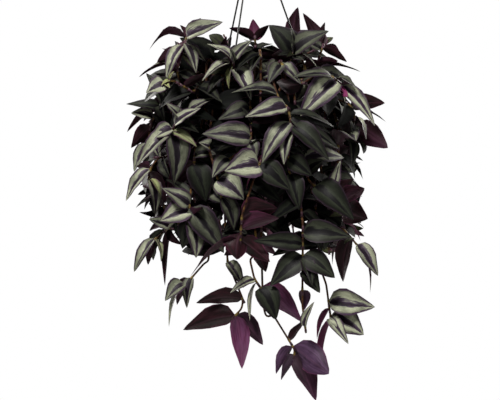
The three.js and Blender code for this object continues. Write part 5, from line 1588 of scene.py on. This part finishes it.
CAMERA = {"lens": 115.2, "sensor": 36.0, "clip": (0.05, 50)}
LIGHTS = (
    ("key", (-0.6, -1.45, 1.75), 0.8, 84.0),
    ("fill", (1.6, -1.7, 0.1), 1.3, 6.0),
    ("back_left", (-1.8, 1.6, 0.5), 1.6, 80.0),
    ("back_right", (1.8, 1.6, 0.5), 1.6, 95.0),
)
LIGHT_COLOUR = (1.0, 0.975, 0.945)
FLOOR = {"z": -2.2, "radius": 5.0, "sides": 96}


def place_camera():
    """A level camera in front of the plant, as the photograph was taken."""
    data = bpy.data.cameras.new("camera")
    data.lens = CAMERA["lens"]
    data.sensor_width = CAMERA["sensor"]
    data.clip_start, data.clip_end = CAMERA["clip"]
    camera = link(bpy.data.objects.new("camera", data))
    camera.location = (VIEW["centre"][0] * MM, -VIEW["distance"] * MM, VIEW["centre"][1] * MM)
    camera.rotation_euler = (math.pi / 2, 0, 0)
    bpy.context.scene.camera = camera


def place_lights(settings):
    """Soft boxes, all turned to the plant's middle."""
    middle = Vector((0, 0, VIEW["centre"][1] * MM))
    for name, place, size, power in LIGHTS:
        data = bpy.data.lights.new(name, "AREA")
        data.shape = "DISK"
        data.size = size
        data.energy = power * settings.light
        data.color = LIGHT_COLOUR
        lamp = link(bpy.data.objects.new(name, data))
        lamp.location = place
        lamp.rotation_euler = (middle - Vector(place)).to_track_quat("-Z", "Y").to_euler()


def white_world(settings):
    """White surroundings, softer as a light than they look."""
    world = bpy.data.worlds.new("studio")
    world.use_nodes = True
    world.node_tree.nodes.clear()
    put = partial(add, world.node_tree)
    looked_at = put("LightPath").outputs["Is Camera Ray"]
    strength = put("MULTIPLY_ADD", looked_at, 1.0 - settings.surround, settings.surround)
    put("OutputWorld", put("Background", (1, 1, 1), strength))
    bpy.context.scene.world = world


def lay_floor():
    """A pale round floor under the hanging plant."""
    build = bmesh.new()
    bmesh.ops.create_circle(build, cap_ends=True, radius=FLOOR["radius"], segments=FLOOR["sides"])
    bmesh.ops.translate(build, verts=build.verts, vec=(0, 0, FLOOR["z"]))
    mesh = bpy.data.meshes.new("floor")
    build.to_mesh(mesh)
    build.free()
    mesh.materials.append(material("floor"))
    link(bpy.data.objects.new("floor", mesh))


# Settings, operators and panel


def colour_property(name, code, description):
    """A colour that the user may change."""
    return FloatVectorProperty(name=name, description=description, subtype="COLOR", size=3, min=0, max=1,
                               default=linear(code))


def factor_property(name, description, least, most, default=1.0):
    """A factor that the user may change."""
    return FloatProperty(name=name, description=description, subtype="FACTOR", min=least, max=most,
                         default=default)


class TradescantiaColours(PropertyGroup):
    """Colours of the plant and its studio."""

    silver: colour_property("Silver bands", "#ADB298", "Silver bands of the leaves' upper face")
    green: colour_property("Green bands", "#2B3025", "Bands of the darker leaves")
    margin: colour_property("Leaf margins", "#432E43", "Margins of the leaves' upper face")
    young: colour_property("Young leaves", "#9AA268", "Bands of young leaves")
    under: colour_property("Undersides", "#34171F", "Undersides of the leaves")
    under_dark: colour_property("Dark undersides", "#160D0E", "Undersides of old and inner leaves")
    under_bright: colour_property("Bright undersides", "#4A2C40", "Undersides that the light catches")
    magenta: colour_property("Magenta undersides", "#7C335C", "Undersides of young and lit leaves")
    stem: colour_property("Stems", "#44291B", "Skin of the stems")
    knot: colour_property("Leaf joints", "#8C7C42", "Joints of the stems")
    sheath: colour_property("Leaf sheaths", "#4F2F3E", "Sheaths at the foot of the leaves")
    pot: colour_property("Pot", "#232427", "Moulded pot")
    hanger: colour_property("Hanger", "#080808", "Hook and strands")
    soil: colour_property("Soil", "#2B2019", "Potting soil")
    floor: colour_property("Floor", "#EDEDEA", "Studio floor")


class TradescantiaSizes(PropertyGroup):
    """Sizes of the plant's finer forms and strength of its light."""

    leaf_width: factor_property("Leaf width", "Width of every leaf, 1 as grown", 0.5, 1.3)
    leaf_arch: factor_property("Leaf arch", "How far the leaves arch, 1 as grown", 0, 2)
    leaf_thickness: factor_property("Leaf thickness", "Thickness of every leaf, 1 as grown", 0.5, 3)
    stem_thickness: factor_property("Stem thickness", "Thickness of the stems, 1 as grown", 0.5, 1.4)
    stem_sides: IntProperty(name="Stem sides", description="Faces round each stem", default=8, min=3, max=24)
    light: factor_property("Lamps", "Strength of the soft boxes", 0, 5)
    surround: factor_property("Surroundings", "Strength of the surroundings as a light", 0, 2, 0.08)


class TRADESCANTIA_OT_camera(Operator):
    """Set up the camera at the photograph's angle"""

    bl_idname = "tradescantia.camera"
    bl_label = "Camera"

    def execute(self, context):
        place_camera()
        return {"FINISHED"}


class TRADESCANTIA_OT_front(Operator):
    """Grow the shoots that the photograph shows, with the leaves among them"""

    bl_idname = "tradescantia.front_shoots"
    bl_label = "Front shoots"

    def execute(self, context):
        dress_stems("front", context.scene.tradescantia_sizes)
        return {"FINISHED"}


class TRADESCANTIA_OT_around(Operator):
    """Grow the long shoots round the sides and the back"""

    bl_idname = "tradescantia.around_shoots"
    bl_label = "Side and back shoots"

    def execute(self, context):
        dress_stems("around", context.scene.tradescantia_sizes)
        return {"FINISHED"}


class TRADESCANTIA_OT_rising(Operator):
    """Grow the short shoots that rise at the back"""

    bl_idname = "tradescantia.rising_shoots"
    bl_label = "Rising shoots"

    def execute(self, context):
        dress_stems("rising", context.scene.tradescantia_sizes)
        return {"FINISHED"}


class TRADESCANTIA_OT_pot(Operator):
    """Make the pot with its rounded rim"""

    bl_idname = "tradescantia.pot"
    bl_label = "Pot"

    def execute(self, context):
        dress_pot()
        return {"FINISHED"}


class TRADESCANTIA_OT_soil(Operator):
    """Fill the pot with crumbly soil"""

    bl_idname = "tradescantia.soil"
    bl_label = "Soil"

    def execute(self, context):
        dress_soil()
        return {"FINISHED"}


class TRADESCANTIA_OT_hanger(Operator):
    """Make the hook and the three strands"""

    bl_idname = "tradescantia.hanger"
    bl_label = "Hook and strands"

    def execute(self, context):
        dress_hook()
        dress_strands()
        return {"FINISHED"}


class TRADESCANTIA_OT_stage(Operator):
    """Lay the floor, hang the soft boxes and make the surroundings white"""

    bl_idname = "tradescantia.stage"
    bl_label = "Stage"

    def execute(self, context):
        context.scene.view_settings.view_transform = "Standard"
        lay_floor()
        place_lights(context.scene.tradescantia_sizes)
        white_world(context.scene.tradescantia_sizes)
        return {"FINISHED"}


OPERATORS = (
    TRADESCANTIA_OT_camera,
    TRADESCANTIA_OT_front,
    TRADESCANTIA_OT_around,
    TRADESCANTIA_OT_rising,
    TRADESCANTIA_OT_pot,
    TRADESCANTIA_OT_soil,
    TRADESCANTIA_OT_hanger,
    TRADESCANTIA_OT_stage,
)


class TRADESCANTIA_PT_panel(Panel):
    """Settings and pieces of the plant"""

    bl_idname = "TRADESCANTIA_PT_panel"
    bl_label = "Tradescantia"
    bl_space_type = "VIEW_3D"
    bl_region_type = "UI"
    bl_category = "Tradescantia"

    def draw(self, context):
        for group in (context.scene.tradescantia_sizes, context.scene.tradescantia_colours):
            box = self.layout.box()
            for name in group.__annotations__:
                box.prop(group, name)
        for operator in OPERATORS:
            self.layout.operator(operator.bl_idname)


CLASSES = (TradescantiaColours, TradescantiaSizes, *OPERATORS, TRADESCANTIA_PT_panel)


def register():
    """Registers the add-on's classes and settings."""
    for each in CLASSES:
        bpy.utils.register_class(each)
    bpy.types.Scene.tradescantia_colours = PointerProperty(type=TradescantiaColours)
    bpy.types.Scene.tradescantia_sizes = PointerProperty(type=TradescantiaSizes)


def unregister():
    """Takes the add-on's settings and classes out again."""
    del bpy.types.Scene.tradescantia_sizes
    del bpy.types.Scene.tradescantia_colours
    for each in reversed(CLASSES):
        bpy.utils.unregister_class(each)


def main():
    """Makes the camera, every piece and the stage."""
    register()
    for operator in OPERATORS:
        group, name = operator.bl_idname.split(".")
        getattr(getattr(bpy.ops, group), name)()


if __name__ == "__main__":
    main()
